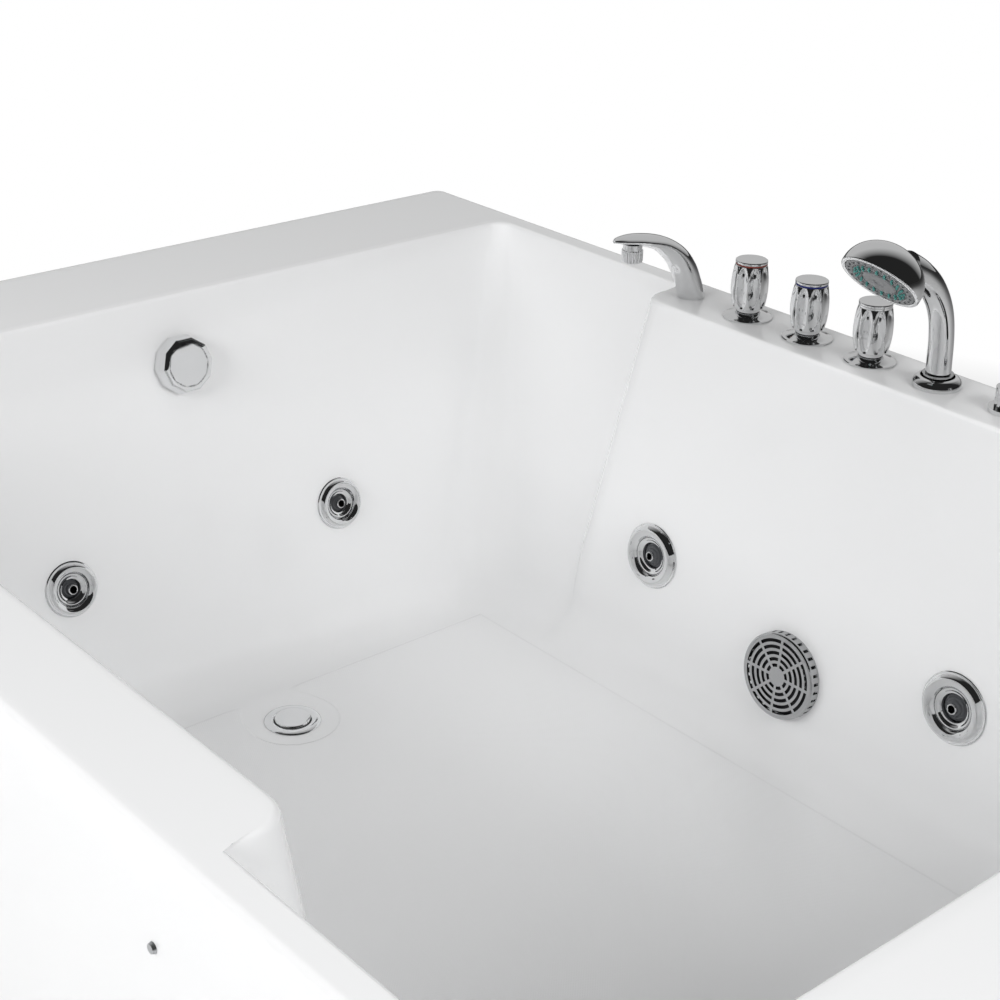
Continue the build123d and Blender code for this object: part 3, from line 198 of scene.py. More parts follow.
@dataclass(frozen=True)
class Acrylic:
    """Glossy white sanitary acrylic, with a finely pimpled panel on the floor; places in metres."""

    name: str = "white_acrylic"
    colour: tuple[float, float, float] = (0.865, 0.868, 0.872)
    gloss_roughness: float = 0.05
    grip_roughness: float = 0.2
    floor: float = 0.123
    panel_middle: float = -0.057
    panel_half: tuple[float, float] = (0.430, 0.368)
    notch: tuple[float, float, float] = (-0.438, 0.016, 0.054)
    notch_flare: float = 0.03
    edge_width: float = 0.003
    edge_depth: float = 0.0007
    pimple_pitch: float = 0.0034
    pimple_depth: float = 0.00006

    def panel(self, recipe: Recipe) -> Signal:
        """Makes the panel's mask: a rectangle on the floor, less a round bay whose mouth is flared.

        Args:
            recipe: the material's recipe.

        Returns:
            1 on the panel and 0 off it, with a soft edge.
        """
        x, y, z = recipe.axes()
        box = ((x - self.panel_middle).absolute() - self.panel_half[0]).math(
            "MAXIMUM", y.absolute() - self.panel_half[1])
        across, along, radius = x - self.notch[0], y - self.notch[1], self.notch[2]
        bay = radius - (across * across + along * along).math("SQRT")
        outside = box.math("SMOOTH_MAX", bay, self.notch_flare)
        level = z.above(self.floor - 0.0004, 0.0002) * (1.0 - z.above(self.floor + 0.0004, 0.0002))
        return (1.0 - outside.above(0.0, self.edge_width)) * level

    def material(self) -> bpy.types.Material:
        """Builds the material: the panel stands a little proud and carries a grid of crossed waves.

        Returns:
            The material.
        """
        recipe = Recipe(bpy.data.materials.new(self.name))
        panel = self.panel(recipe)
        x, y, _ = recipe.axes()
        turns = TURN / self.pimple_pitch
        wave = (x * turns).math("SINE") * (y * turns).math("SINE")
        patches = recipe.noise(5.0, 1.0).above(0.52, 0.2)
        sheen = recipe.noise(2.2, 1.0)
        colour = recipe.blend(sheen.above(0.5, 0.8), tuple(c * 0.994 for c in self.colour), self.colour)
        rough = panel * (self.grip_roughness - self.gloss_roughness) + self.gloss_roughness
        height = panel * self.edge_depth + wave * panel * (patches + 0.35) * self.pimple_depth
        return recipe.surface(
            Base_Color=colour,
            Roughness=rough + (recipe.noise(35.0) - 0.5) * 0.02,
            IOR=1.45,
            Normal=recipe.bump(height, 1.0),
        )


@dataclass(frozen=True)
class Plated:
    """Polished chrome plate over brass or plastic, with faint haze and water marks."""

    name: str = "chrome"
    colour: tuple[float, float, float] = (0.80, 0.805, 0.81)
    roughness: float = 0.025
    haze: float = 0.02

    def material(self) -> bpy.types.Material:
        """Builds the material: haze follows fine noise."""
        recipe = Recipe(bpy.data.materials.new(self.name))
        marks = recipe.noise(60.0, 3.0)
        return recipe.surface(
            Base_Color=recipe.blend(marks, tuple(c * 0.97 for c in self.colour), self.colour),
            Metallic=1.0,
            Roughness=(marks - 0.35).clamped() * self.haze + self.roughness,
        )


@dataclass(frozen=True)
class Moulded:
    """Moulded plastic, rubber or paint: one colour with a little mottling and a fine surface grain."""

    name: str
    colour: tuple[float, float, float]
    roughness: float = 0.4
    mottle: float = 0.06
    grain: float = 0.00004
    grain_scale: float = 900.0
    metallic: float = 0.0

    def material(self) -> bpy.types.Material:
        """Builds the material: broad noise mottles the colour and fine noise bends the normal."""
        recipe = Recipe(bpy.data.materials.new(self.name))
        broad = recipe.noise(18.0, 3.0)
        fine = recipe.noise(self.grain_scale, 2.0)
        dark = tuple(c * (1.0 - self.mottle) for c in self.colour)
        return recipe.surface(
            Base_Color=recipe.blend(broad, dark, self.colour),
            Roughness=(broad - 0.5) * 0.1 + self.roughness,
            Metallic=self.metallic,
            Normal=recipe.bump(fine, self.grain),
        )


@dataclass(frozen=True)
class Chipboard:
    """Raw chipboard: flakes of two browns under a faint pressed grain."""

    name: str = "chipboard"
    light: tuple[float, float, float] = (0.58, 0.44, 0.29)
    dark: tuple[float, float, float] = (0.40, 0.28, 0.17)

    def material(self) -> bpy.types.Material:
        """Builds the material: cells of a Voronoi pattern are the flakes."""
        recipe = Recipe(bpy.data.materials.new(self.name))
        cells = recipe.node("ShaderNodeTexVoronoi", {"feature": "F1"}, {"Vector": recipe.place(), "Scale": 140.0})
        flake = recipe.node("ShaderNodeSeparateColor", {}, {0: cells.outputs["Color"]})
        mask = Signal(recipe, flake.outputs[0])
        return recipe.surface(
            Base_Color=recipe.blend(mask, self.dark, self.light),
            Roughness=0.75,
            Normal=recipe.bump(mask, 0.0002),
        )


class Finish(Enum):
    """The finishes of the tub's pieces."""

    ACRYLIC = Acrylic()
    CHROME = Plated()
    SATIN_CHROME = Plated("satin_chrome", (0.50, 0.504, 0.51), 0.13, 0.05)
    NOZZLE = Moulded("dark_nozzle_plastic", (0.075, 0.078, 0.084), 0.22, 0.1)
    # Near-black painted shade, put inside the jet nozzles' bores and behind the suction cover where the hollows lie in
    # shadow.
    BORE = Moulded("black_bore", (0.006, 0.006, 0.007), 0.5, 0.0)
    RED = Moulded("hot_red", (0.20, 0.045, 0.035), 0.3)
    BLUE = Moulded("cold_blue", (0.015, 0.022, 0.15), 0.3)
    FACE = Moulded("spray_face_grey", (0.20, 0.205, 0.21), 0.34, 0.08)
    TURQUOISE = Moulded("turquoise_rubber", (0.10, 0.34, 0.31), 0.45)
    BRASS = Moulded("cast_brass", (0.60, 0.44, 0.20), 0.32, 0.18, 0.0001, 700.0, 1.0)
    PIPE = Moulded("white_pipe", (0.72, 0.72, 0.70), 0.38)
    CABLE = Moulded("black_cable", (0.02, 0.02, 0.021), 0.5)
    BOARD = Chipboard()
    FRAME = Moulded("grey_frame_paint", (0.21, 0.215, 0.225), 0.42, 0.08, 0.00006, 500.0)
    ZINC = Moulded("zinc_plate", (0.55, 0.56, 0.57), 0.34, 0.12, 0.00003, 1200.0, 1.0)
    MOTOR = Moulded("motor_paint", (0.035, 0.038, 0.042), 0.36, 0.1)
    PUMP = Moulded("pump_plastic", (0.028, 0.028, 0.03), 0.5, 0.1)


class Wardrobe:
    """Makes each finish's material once and hands it out."""

    def __init__(self) -> None:
        """Starts with nothing made."""
        self.made: dict[Finish, bpy.types.Material] = {}

    def get(self, finish: Finish) -> bpy.types.Material:
        """The material of a finish."""
        if finish not in self.made:
            self.made[finish] = finish.value.material()
        return self.made[finish]


WARDROBE = Wardrobe()


# Surfaces


@dataclass(frozen=True)
class Seat:
    """Where a fitting sits: a point in millimetres and the directions across, up and out of its face."""

    origin: np.ndarray
    across: np.ndarray
    up: np.ndarray
    out: np.ndarray

    def at(self, across: Any, up: Any, out: Any) -> np.ndarray:
        """Points of this seat: the origin plus a share of each direction."""
        parts = [np.asarray(v, float)[..., None] * d for v, d in ((across, self.across), (up, self.up), (out, self.out))]
        return self.origin + parts[0] + parts[1] + parts[2]


def seat(origin: Sequence[float], across: Sequence[float], out: Sequence[float]) -> Seat:
    """A seat from its point, its direction across and its direction out."""
    a, o = (np.asarray(v, float) / np.linalg.norm(v) for v in (across, out))
    return Seat(np.asarray(origin, float), a, np.cross(o, a), o)


@dataclass(frozen=True)
class Skin:
    """A grid of points, rows by columns: whether it closes, whether its ends are filled, and which quads it keeps."""

    points: np.ndarray
    round: bool = True
    fill_start: bool = False
    fill_end: bool = False
    keep: Union[np.ndarray, None] = None

    def faces(self, first: int) -> tuple[np.ndarray, list[list[int]]]:
        """Lists the grid's points and faces: quads between rows, and one face on a filled end.

        Args:
            first: the number of the first point.

        Returns:
            The points that are used, and the faces.
        """
        rows, columns = self.points.shape[:2]
        index = np.arange(rows * columns).reshape(rows, columns)
        if self.round:
            index = np.concatenate([index, index[:, :1]], axis=1)
        quads = np.stack([index[:-1, :-1], index[:-1, 1:], index[1:, 1:], index[1:, :-1]], axis=-1).reshape(-1, 4)
        if self.keep is not None:
            quads = quads[self.keep.reshape(-1)]
        used = np.unique(quads)
        order = np.zeros(rows * columns, int)
        order[used] = first + np.arange(len(used))
        faces = order[quads].tolist()
        if self.fill_start:
            faces.append(order[index[0, :columns][::-1]].tolist())
        if self.fill_end:
            faces.append(order[index[-1, :columns]].tolist())
        return self.points.reshape(-1, 3)[used], faces


def revolved(place: Seat, profile: Sequence[Sequence[float]], sides: int = 96, **ends: bool) -> Skin:
    """A profile turned about a seat's out direction: each point is radius times the circle, plus its height."""
    r, h = np.asarray(profile, float).T
    angle = np.linspace(0.0, TURN, sides, endpoint=False)
    points = place.at(r[:, None] * np.cos(angle), r[:, None] * np.sin(angle), h[:, None] + 0.0 * angle)
    return Skin(points, **ends)


def eased(corners: Sequence[Sequence[float]], radius: float, steps: int = 5) -> np.ndarray:
    """A broken line with its inner corners rounded: each becomes a quadratic curve between points a radius away."""
    pts = np.asarray(corners, float)
    share = np.linspace(0.0, 1.0, steps)[:, None]
    parts = [pts[:1]]
    for before, here, after in zip(pts[:-2], pts[1:-1], pts[2:]):
        back, ahead = before - here, after - here
        start = here + back * min(0.45, radius / max(np.linalg.norm(back), 1e-9))
        end = here + ahead * min(0.45, radius / max(np.linalg.norm(ahead), 1e-9))
        parts.append((1 - share) ** 2 * start + 2 * share * (1 - share) * here + share**2 * end)
    return np.concatenate([*parts, pts[-1:]])


def spline(values: Sequence[Sequence[float]], count: int) -> np.ndarray:
    """A smooth line through the rows of values, by the Catmull-Rom formula on each span, sampled count times."""
    v = np.asarray(values, float)
    ends = np.concatenate([2 * v[:1] - v[1:2], v, 2 * v[-1:] - v[-2:-1]])
    t = np.linspace(0.0, len(v) - 1.0, count)
    span = np.minimum(t.astype(int), len(v) - 2)
    u = (t - span)[:, None]
    a, b, c, d = (ends[span + k] for k in range(4))
    return 0.5 * (2 * b + (c - a) * u + (2 * a - 5 * b + 4 * c - d) * u**2 + (3 * b - a - 3 * c + d) * u**3)


@dataclass(frozen=True)
class Piece:
    """A finished piece: its name, skins, finish, the body it rides on, the nodes it stands for and its slot."""

    name: str
    skins: Sequence[Skin]
    finish: Finish
    body: str
    slot: str
    stands_for: Sequence[str] = ()
    crease: float = 32.0

    def build(self) -> bpy.types.Object:
        """Puts the skins into one smooth mesh with sharp creases, and hangs it on its body."""
        points, faces, first = [], [], 0
        for skin in self.skins:
            more, new = skin.faces(first)
            points.append(more)
            faces += new
            first += len(more)
        mesh = bpy.data.meshes.new(self.name)
        mesh.from_pydata((np.concatenate(points) * MM).tolist(), [], faces)
        mesh.polygons.foreach_set("use_smooth", np.ones(len(mesh.polygons), bool))
        mesh.set_sharp_from_angle(angle=math.radians(self.crease))
        mesh.materials.append(WARDROBE.get(self.finish))
        mesh.update()
        piece = bpy.data.objects.new(self.name, mesh)
        bpy.context.scene.collection.objects.link(piece)
        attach(piece, self.body)
        if self.stands_for:
            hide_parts(*self.stands_for)
        log.info("%s: %d points on %s", self.name, first, self.body)
        return piece


# Places on the tub


@dataclass(frozen=True)
class TubPlan:
    """The tub's outline, wall slopes and the places of its fittings, in millimetres."""

    half_length: float = 840.0
    half_width: float = 575.0
    rim: float = 600.0
    end_rim: float = 175.0
    deck: float = 100.0
    armrest: float = 92.0
    end_slope: float = 0.24
    deck_slope: float = 0.10
    line_y: float = 16.0
    line_x: float = -12.0
    deck_y: float = 525.0
    first_x: float = -285.0
    pitch: float = 93.0

    def end_wall(self, along: float, drop: float) -> Seat:
        """A seat on the wall at the drain end."""
        x = -self.half_length + self.end_rim + self.end_slope * drop
        return seat((x, along, self.rim - drop), (0, 1, 0), (1, 0, self.end_slope))

    def deck_wall(self, along: float, drop: float) -> Seat:
        """A seat on the wall under the deck."""
        y = self.half_width - self.deck - self.deck_slope * drop
        return seat((along, y, self.rim - drop), (1, 0, 0), (0, -1, self.deck_slope))

    def armrest_wall(self, along: float, drop: float) -> Seat:
        """A seat on the wall under the armrest."""
        y = self.armrest - self.half_width + self.deck_slope * drop
        return seat((along, y, self.rim - drop), (-1, 0, 0), (0, 1, self.deck_slope))

    def deck_seat(self, number: int, height: float = 0.0) -> Seat:
        """The seat of a deck fitting, counted from the spout."""
        return seat((self.first_x + self.pitch * number, self.deck_y, self.rim + height), (1, 0, 0), (0, 0, 1))


PLAN = TubPlan()


# The acrylic shell


@dataclass(frozen=True)
class Shell:
    """The acrylic tub as one closed sheet: floor, cove, walls, rim and lip, then back along its hidden side."""

    depth: float = 477.0
    wall: float = 8.0
    lip: float = 55.0
    end_in: float = 665.0
    side_in: float = 544.0
    deck_in: float = 475.0
    armrest_in: float = 483.0
    block_half: float = 322.0
    backrest_slope: float = 0.4877
    side_slope: float = 0.25
    draft: float = 0.22
    cove: float = 60.0
    inner_edge: float = 5.0
    outer_edge: float = 6.0
    outer_corner: float = 16.0
    corner: tuple[float, float] = (24.0, 75.0)
    block_corner: tuple[float, float] = (32.0, 62.0)
    middle: float = -50.0
    drain: tuple[float, float] = (-424.0, 16.0)
    dish: tuple[float, float, float] = (36.0, 62.0, 2.4)
    holes: tuple[tuple[str, float, float, float], ...] = (
        ("end", 211.0, 304.0, 26.5), ("end", -179.0, 304.0, 26.5), ("end", 16.0, 81.0, 18.0),
        ("deck", -245.0, 315.0, 31.0), ("deck", 221.0, 315.0, 31.0), ("deck", -12.0, 377.0, 42.0),
        ("armrest", -245.0, 315.0, 31.0), ("armrest", 221.0, 315.0, 31.0),
    )
    deck_holes: tuple[float, ...] = (9.0, 19.0, 19.0, 19.0, 20.5, 15.0, 15.0)

    def fall(self, slope: float, drop: np.ndarray, grow: float, cove: float) -> np.ndarray:
        """How far a wall has come in at a drop: its slope, rounded off at the rim and run into the floor by a cove.

        Args:
            slope: the wall's run over its drop.
            drop: how far below the rim.
            grow: how far this skin lies outside the basin's own.
            cove: the radius at the floor, or nothing.

        Returns:
            The distance in from the wall's line at the rim.
        """
        sine = slope / math.hypot(1.0, slope)
        turn = math.tan(0.25 * math.pi - 0.5 * math.asin(sine))
        edge, foot = max(self.inner_edge - grow, 0.01), cove + grow if cove else 0.0
        top, low = drop - grow, self.depth + grow - drop
        rim = np.sqrt(np.maximum(edge**2 - (edge - top) ** 2, 0.0)) - edge * turn + slope * grow
        floor = slope * (self.depth + grow) + foot * turn - np.sqrt(np.maximum(foot**2 - (foot - low) ** 2, 0.0))
        wall = np.where(top < edge * (1.0 - sine), rim, slope * drop)
        return np.where(low < foot * (1.0 - sine), floor, wall) - grow

    def bend(self, wide: np.ndarray, front: np.ndarray, radius: np.ndarray, share: np.ndarray) -> list[np.ndarray]:
        """The line from a wide wall round to the front of a narrowing: a straight side, then an arc.

        Args:
            wide: the wide wall's distance from the middle.
            front: the front's distance from the middle.
            radius: the arc's radius.
            share: how far along the line, from the wide wall.

        Returns:
            The distance past the narrowing's side, and the distance from the middle.
        """
        deep = np.maximum(wide - front, 0.6)
        swing = np.arccos(np.clip(1.0 - deep / radius, 0.0, 1.0))
        straight = np.maximum(deep - radius, 0.0)
        run = (straight + radius * swing) * share
        angle = np.clip((straight + radius * swing - run) / radius, 0.0, swing)
        on_side = run < straight
        past = np.where(on_side, 0.0, radius * (1.0 - np.sin(angle)))
        return [past, np.where(on_side, front + deep - run, front + radius * (1.0 - np.cos(angle)))]

    def half(self, x: Sequence[Any], y: Sequence[Any], corner: Any, bends: Sequence[Any]) -> np.ndarray:
        """Half an outline, from the middle of the backrest end to the middle of the drain end.

        Args:
            x: where the backrest end, the near bend's start and end, the far bend's end and start, and the drain
                end lie.
            y: how far out the wide wall and the front lie.
            corner: the radius of the two corners.
            bends: the points of the near and of the far bend.

        Returns:
            Rows of points in x and y.
        """
        high, near, first, last, far, low = x
        wide, front = y
        step = {n: np.arange(n) / n for n in (8, 10, 60, 72)}
        quarter = 0.5 * math.pi * step[10]
        parts = [
            (high, step[10] * (wide - corner)),
            (high - corner * (1.0 - np.cos(quarter)), wide - corner * (1.0 - np.sin(quarter))),
            (high - corner + step[8] * (near - high + corner), wide),
            bends[0],
            (first + step[72] * (last - first), front),
            bends[1],
            (far + step[8] * (low + corner - far), wide),
            (low + corner * (1.0 - np.sin(quarter)), wide - corner * (1.0 - np.cos(quarter))),
            (low, (wide - corner) * (1.0 - step[60])),
            (low, 0.0 * wide),
        ]
        return np.concatenate([np.stack(np.broadcast_arrays(*part), axis=-1) for part in parts], axis=1)

    def whole(self, deck: np.ndarray, armrest: np.ndarray) -> np.ndarray:
        """Both halves as one closed line, clockwise from above."""
        return np.concatenate([deck, (armrest * (1.0, -1.0))[:, -2:0:-1]], axis=1)[:, ::-1]

    def outline(self, drop: np.ndarray, grow: float = 0.0) -> np.ndarray:
        """The basin's outline at each drop: a rounded rectangle, narrowed by a block on each long side.

        Args:
            drop: how far below the rim.
            grow: how far this skin lies outside the basin's own.

        Returns:
            Rows of points in x and y.
        """
        drop = np.asarray(drop, float)[:, None]
        share = drop / self.depth
        low = self.fall(PLAN.end_slope, drop, grow, self.cove) - self.end_in
        high = self.end_in - self.fall(self.backrest_slope, drop, grow, self.cove)
        inset = self.fall(self.side_slope, drop, grow, self.cove)
        wide = self.side_in - inset
        inset = inset - self.fall(self.side_slope, drop, grow, 0.0)
        corner = np.maximum(self.corner[0] + (self.corner[1] - self.corner[0]) * share + grow - inset, 8.0)
        radius = self.block_corner[0] - grow + (self.block_corner[1] - self.block_corner[0]) * share
        reach = self.block_half + self.fall(self.draft, drop, grow, 0.0)
        halves = []
        for line in (self.deck_in, self.armrest_in):
            front = line - self.fall(PLAN.deck_slope, drop, grow, self.cove)
            step = np.arange(14) / 14.0
            start = self.bend(wide, front, radius, np.zeros(1))[0]
            near = np.minimum(reach - start, high - corner - 3.0)
            past, out = self.bend(wide, front, radius, step)
            back_past, back_out = self.bend(wide, front, radius, 1.0 - step)
            bends = [(near + start - past, out), (back_past - reach, back_out)]
            ends = [high, near, near + start - radius, radius - reach, start - reach, low]
            halves.append(self.half(ends, [wide, front], corner, bends))
        return self.whole(*halves)

    def rim_outline(self, inset: Sequence[float]) -> np.ndarray:
        """The rim's outer outline, with its points spread to lie beside the basin's.

        Args:
            inset: how far in from the overall size.

        Returns:
            Rows of points in x and y.
        """
        inset = np.asarray(inset, float)[:, None]
        long, wide, corner = PLAN.half_length - inset, PLAN.half_width - inset, self.outer_corner - inset
        near, first, step = self.block_half + 25.0, self.block_half - 22.0, np.arange(14) / 14.0
        bends = [(near - (near - first) * step, wide), (-first - (near - first) * step, wide)]
        half = self.half([long, near, first, -first, -near, -long], [wide, wide], corner, bends)
        return self.whole(half, half)

    def rows(self) -> np.ndarray:
        """All rows of points, from the middle of the floor over the rim and back to the middle of the underside.

        Returns:
            The grid of points.
        """
        rim = PLAN.rim
        quarter = np.linspace(0.0, 0.5 * math.pi, 16)
        drops = np.concatenate([self.depth - self.cove * (1.0 - np.cos(quarter)),
                                np.linspace(self.depth - self.cove, self.inner_edge, 54)[1:],
                                self.inner_edge * (1.0 - np.sin(quarter[2::2]))])
        inner = np.dstack([self.outline(drops), np.repeat((rim - drops)[:, None], self.columns(), axis=1)])
        shares = np.concatenate([np.linspace(0.03, 0.965, 50), [0.98, 0.99]])
        round_edge = quarter[::3]
        insets = np.concatenate([self.outer_edge * (1.0 - np.sin(round_edge)), [0.0, self.wall, self.wall]])
        heights = np.concatenate([rim - self.outer_edge * (1.0 - np.cos(round_edge)),
                                  [rim - self.lip, rim - self.lip, rim - self.wall]])
        outer = np.dstack([self.rim_outline(insets), np.repeat(heights[:, None], self.columns(), axis=1)])
        under = np.concatenate([np.linspace(self.wall, self.depth - self.cove, 24),
                                self.depth + self.wall - (self.cove + self.wall) * (1.0 - np.cos(quarter[-3::-2]))])
        back = np.dstack([self.outline(under, self.wall), np.repeat((rim - under)[:, None], self.columns(), axis=1)])
        back_shares = np.concatenate([np.linspace(1.0, 0.7, 17)[1:], np.linspace(0.66, 0.03, 6)])
        return np.concatenate([
            self.floor(inner[:1], shares, 1.0), inner, self.between(inner[-1:], outer[:1], 14), outer,
            self.between(outer[-1:], back[:1], 5), back, self.floor(back[-1:], back_shares, 0.0),
        ])

    def columns(self) -> int:
        """How many points each row has."""
        return self.rim_outline([0.0]).shape[1]

    def between(self, start: np.ndarray, end: np.ndarray, count: int) -> np.ndarray:
        """Rows that lie in even steps between two rows, without these."""
        share = (np.arange(1, count) / count)[:, None, None]
        return start + (end - start) * share

    def floor(self, edge: np.ndarray, shares: np.ndarray, dished: float) -> np.ndarray:
        """Rows that shrink the floor's edge towards its middle, sunk in a flat-bottomed cone round the drain.

        Args:
            edge: the row at the floor's edge.
            shares: each row's size as a share of the edge.
            dished: 1 where the dish is pressed in, 0 where not.

        Returns:
            The rows.
        """
        centre = np.array([self.middle, 0.0, 0.0])
        rows = centre + (edge - centre) * np.stack([shares, shares, np.ones_like(shares)], axis=-1)[:, None, :]
        inner, outer, deep = self.dish
        away = np.hypot(rows[..., 0] - self.drain[0], rows[..., 1] - self.drain[1])
        rows[..., 2] -= dished * deep * np.clip((outer - away) / (outer - inner), 0.0, 1.0)
        return rows

    def kept(self, points: np.ndarray) -> np.ndarray:
        """Which quads stay: those whose middle lies outside every hole.

        Args:
            points: the grid of points.

        Returns:
            True for each quad that stays.
        """
        wrapped = np.concatenate([points, points[:, :1]], axis=1)
        middle = 0.25 * (wrapped[:-1, :-1] + wrapped[1:, :-1] + wrapped[:-1, 1:] + wrapped[1:, 1:])
        walls = {"end": PLAN.end_wall, "deck": PLAN.deck_wall, "armrest": PLAN.armrest_wall}
        places = [(walls[name](along, drop), radius) for name, along, drop, radius in self.holes]
        places += [(PLAN.deck_seat(n), radius) for n, radius in enumerate(self.deck_holes)]
        places.append((seat((*self.drain, PLAN.rim - self.depth), (1, 0, 0), (0, 0, 1)), 28.5))
        keep = np.ones(middle.shape[:2], bool)
        for place, radius in places:
            away = middle - place.origin
            height = away @ place.out
            off_axis = np.linalg.norm(away - height[..., None] * place.out, axis=-1)
            keep &= (off_axis > radius) | (np.abs(height) > 20.0)
        return keep

    def piece(self) -> Piece:
        """The whole shell."""
        points = self.rows()
        skin = Skin(points, fill_start=True, fill_end=True, keep=self.kept(points))
        return Piece("acrylic_shell", [skin], Finish.ACRYLIC, "tub", "acrylic", ["tub_shell"])


# Fittings


@dataclass(frozen=True)
class Jet:
    """A wall jet: domed bezel, dished ring that turns in it, and a stepped nozzle that tips in the ring."""

    name: str
    place: Seat
    outer: float
    bore: float
    crest: float = 9.0
    ring_wall: float = 7.0
    gap: float = 0.3

    def bezel(self) -> Piece:
        """The bezel: a thin edge, a round shoulder over the crest, and a fall to the bore."""
        o, b, c = self.outer, self.bore, self.crest
        mid = o - 0.42 * (o - b)
        lip = [(o - 0.2, 0.0), (o, 0.4), (o, 1.3), (o - 0.9, 1.8)]
        dome = spline([(o - 1.3, 1.9), (o - 0.18 * (o - b), 0.62 * c), (mid, c), (b + 0.18 * (o - b), 0.80 * c),
                       (b + 0.4, 0.45 * c)], 26)
        inside = [(b, 0.36 * c), (b, 0.1)]
        profile = np.concatenate([lip, dome, inside])
        return Piece(f"bezel_{self.name}", [revolved(self.place, profile)], Finish.CHROME, "tub", "chrome")

    def ring(self) -> Piece:
        """The ring: a dish that carries the bezel's fall on to the nozzle, and its walls down to the seat."""
        outer = self.bore - self.gap
        inner = outer - self.ring_wall
        top = spline([(outer - 0.3, 3.1), (outer - 2.0, 2.9), (inner + 2.4, 0.8), (inner + 0.3, 0.0)], 12)
        profile = np.concatenate([[(outer, -8.6), (outer, 2.6)], top, [(inner, -0.5), (inner, -8.6), (outer, -8.6)]])
        node = f"jet_ring_{self.name}"
        return Piece(f"ring_{self.name}", [revolved(self.place, profile)], Finish.CHROME, f"ring_{self.name}",
                     "ring_chrome", [node])

    def nozzle(self) -> list[Piece]:
        """The nozzle: ball, step, cone, and the bright tip round its bore, whose near-black inside is painted shade."""
        inner = self.bore - self.gap - self.ring_wall
        ball = inner - self.gap
        body = f"nozzle_{self.name}"
        cone = eased([(ball - 0.9, -13.0), (ball, -9.5), (ball, -7.0), (ball - 0.8, -3.6), (0.78 * ball, -2.2),
                      (0.76 * ball, -0.8), (0.60 * ball, -0.2), (0.56 * ball, 1.6), (6.3, 2.6), (6.0, 3.4)], 1.2, 4)
        tail = [(0.5 * ball, -17.0), (ball - 0.9, -13.0)]
        tip = eased([(6.2, 2.4), (6.2, 5.2), (5.6, 6.0), (4.9, 6.0), (4.4, 5.4), (4.4, 1.0)], 0.5, 4)
        # The bore is a closed tube in near-black: painted shade in the nozzle's hole.
        bore = [(4.4, 1.2), (4.2, -16.0)]
        return [
            Piece(f"{body}_cone", [revolved(self.place, cone), revolved(self.place, tail, fill_start=True)],
                  Finish.NOZZLE, body, "nozzle_grey", [f"jet_{body}"]),
            Piece(f"{body}_tip", [revolved(self.place, tip, 64)], Finish.CHROME, body, "ring_chrome"),
            Piece(f"{body}_bore", [revolved(self.place, bore, 48, fill_end=True)], Finish.BORE, body, "nozzle_grey"),
        ]

    def pieces(self) -> list[Piece]:
        """All the jet's pieces."""
        return [self.bezel(), self.ring(), *self.nozzle()]


@dataclass(frozen=True)
class Jets:
    """The six jets of the tub."""

    large: tuple[float, float] = (42.0, 24.0)
    small: tuple[float, float] = (33.8, 19.5)
    end_drop: float = 304.0
    side_drop: float = 315.0
    half_end: float = 195.0
    half_side: float = 233.0

    def build(self) -> None:
        """Builds every jet; the first bezel stands for the node of all the bezels."""
        places = {
            "end_deck_side": (PLAN.end_wall(PLAN.line_y + self.half_end, self.end_drop), self.small),
            "end_armrest_side": (PLAN.end_wall(PLAN.line_y - self.half_end, self.end_drop), self.small),
            "deck_left": (PLAN.deck_wall(PLAN.line_x - self.half_side, self.side_drop), self.large),
            "deck_right": (PLAN.deck_wall(PLAN.line_x + self.half_side, self.side_drop), self.large),
            "armrest_left": (PLAN.armrest_wall(PLAN.line_x - self.half_side, self.side_drop), self.large),
            "armrest_right": (PLAN.armrest_wall(PLAN.line_x + self.half_side, self.side_drop), self.large),
        }
        for name, (place, (outer, bore)) in places.items():
            for piece in Jet(name, place, outer, bore).pieces():
                made = piece.build()
                if piece.name.startswith("bezel"):
                    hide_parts("jet_bezels")


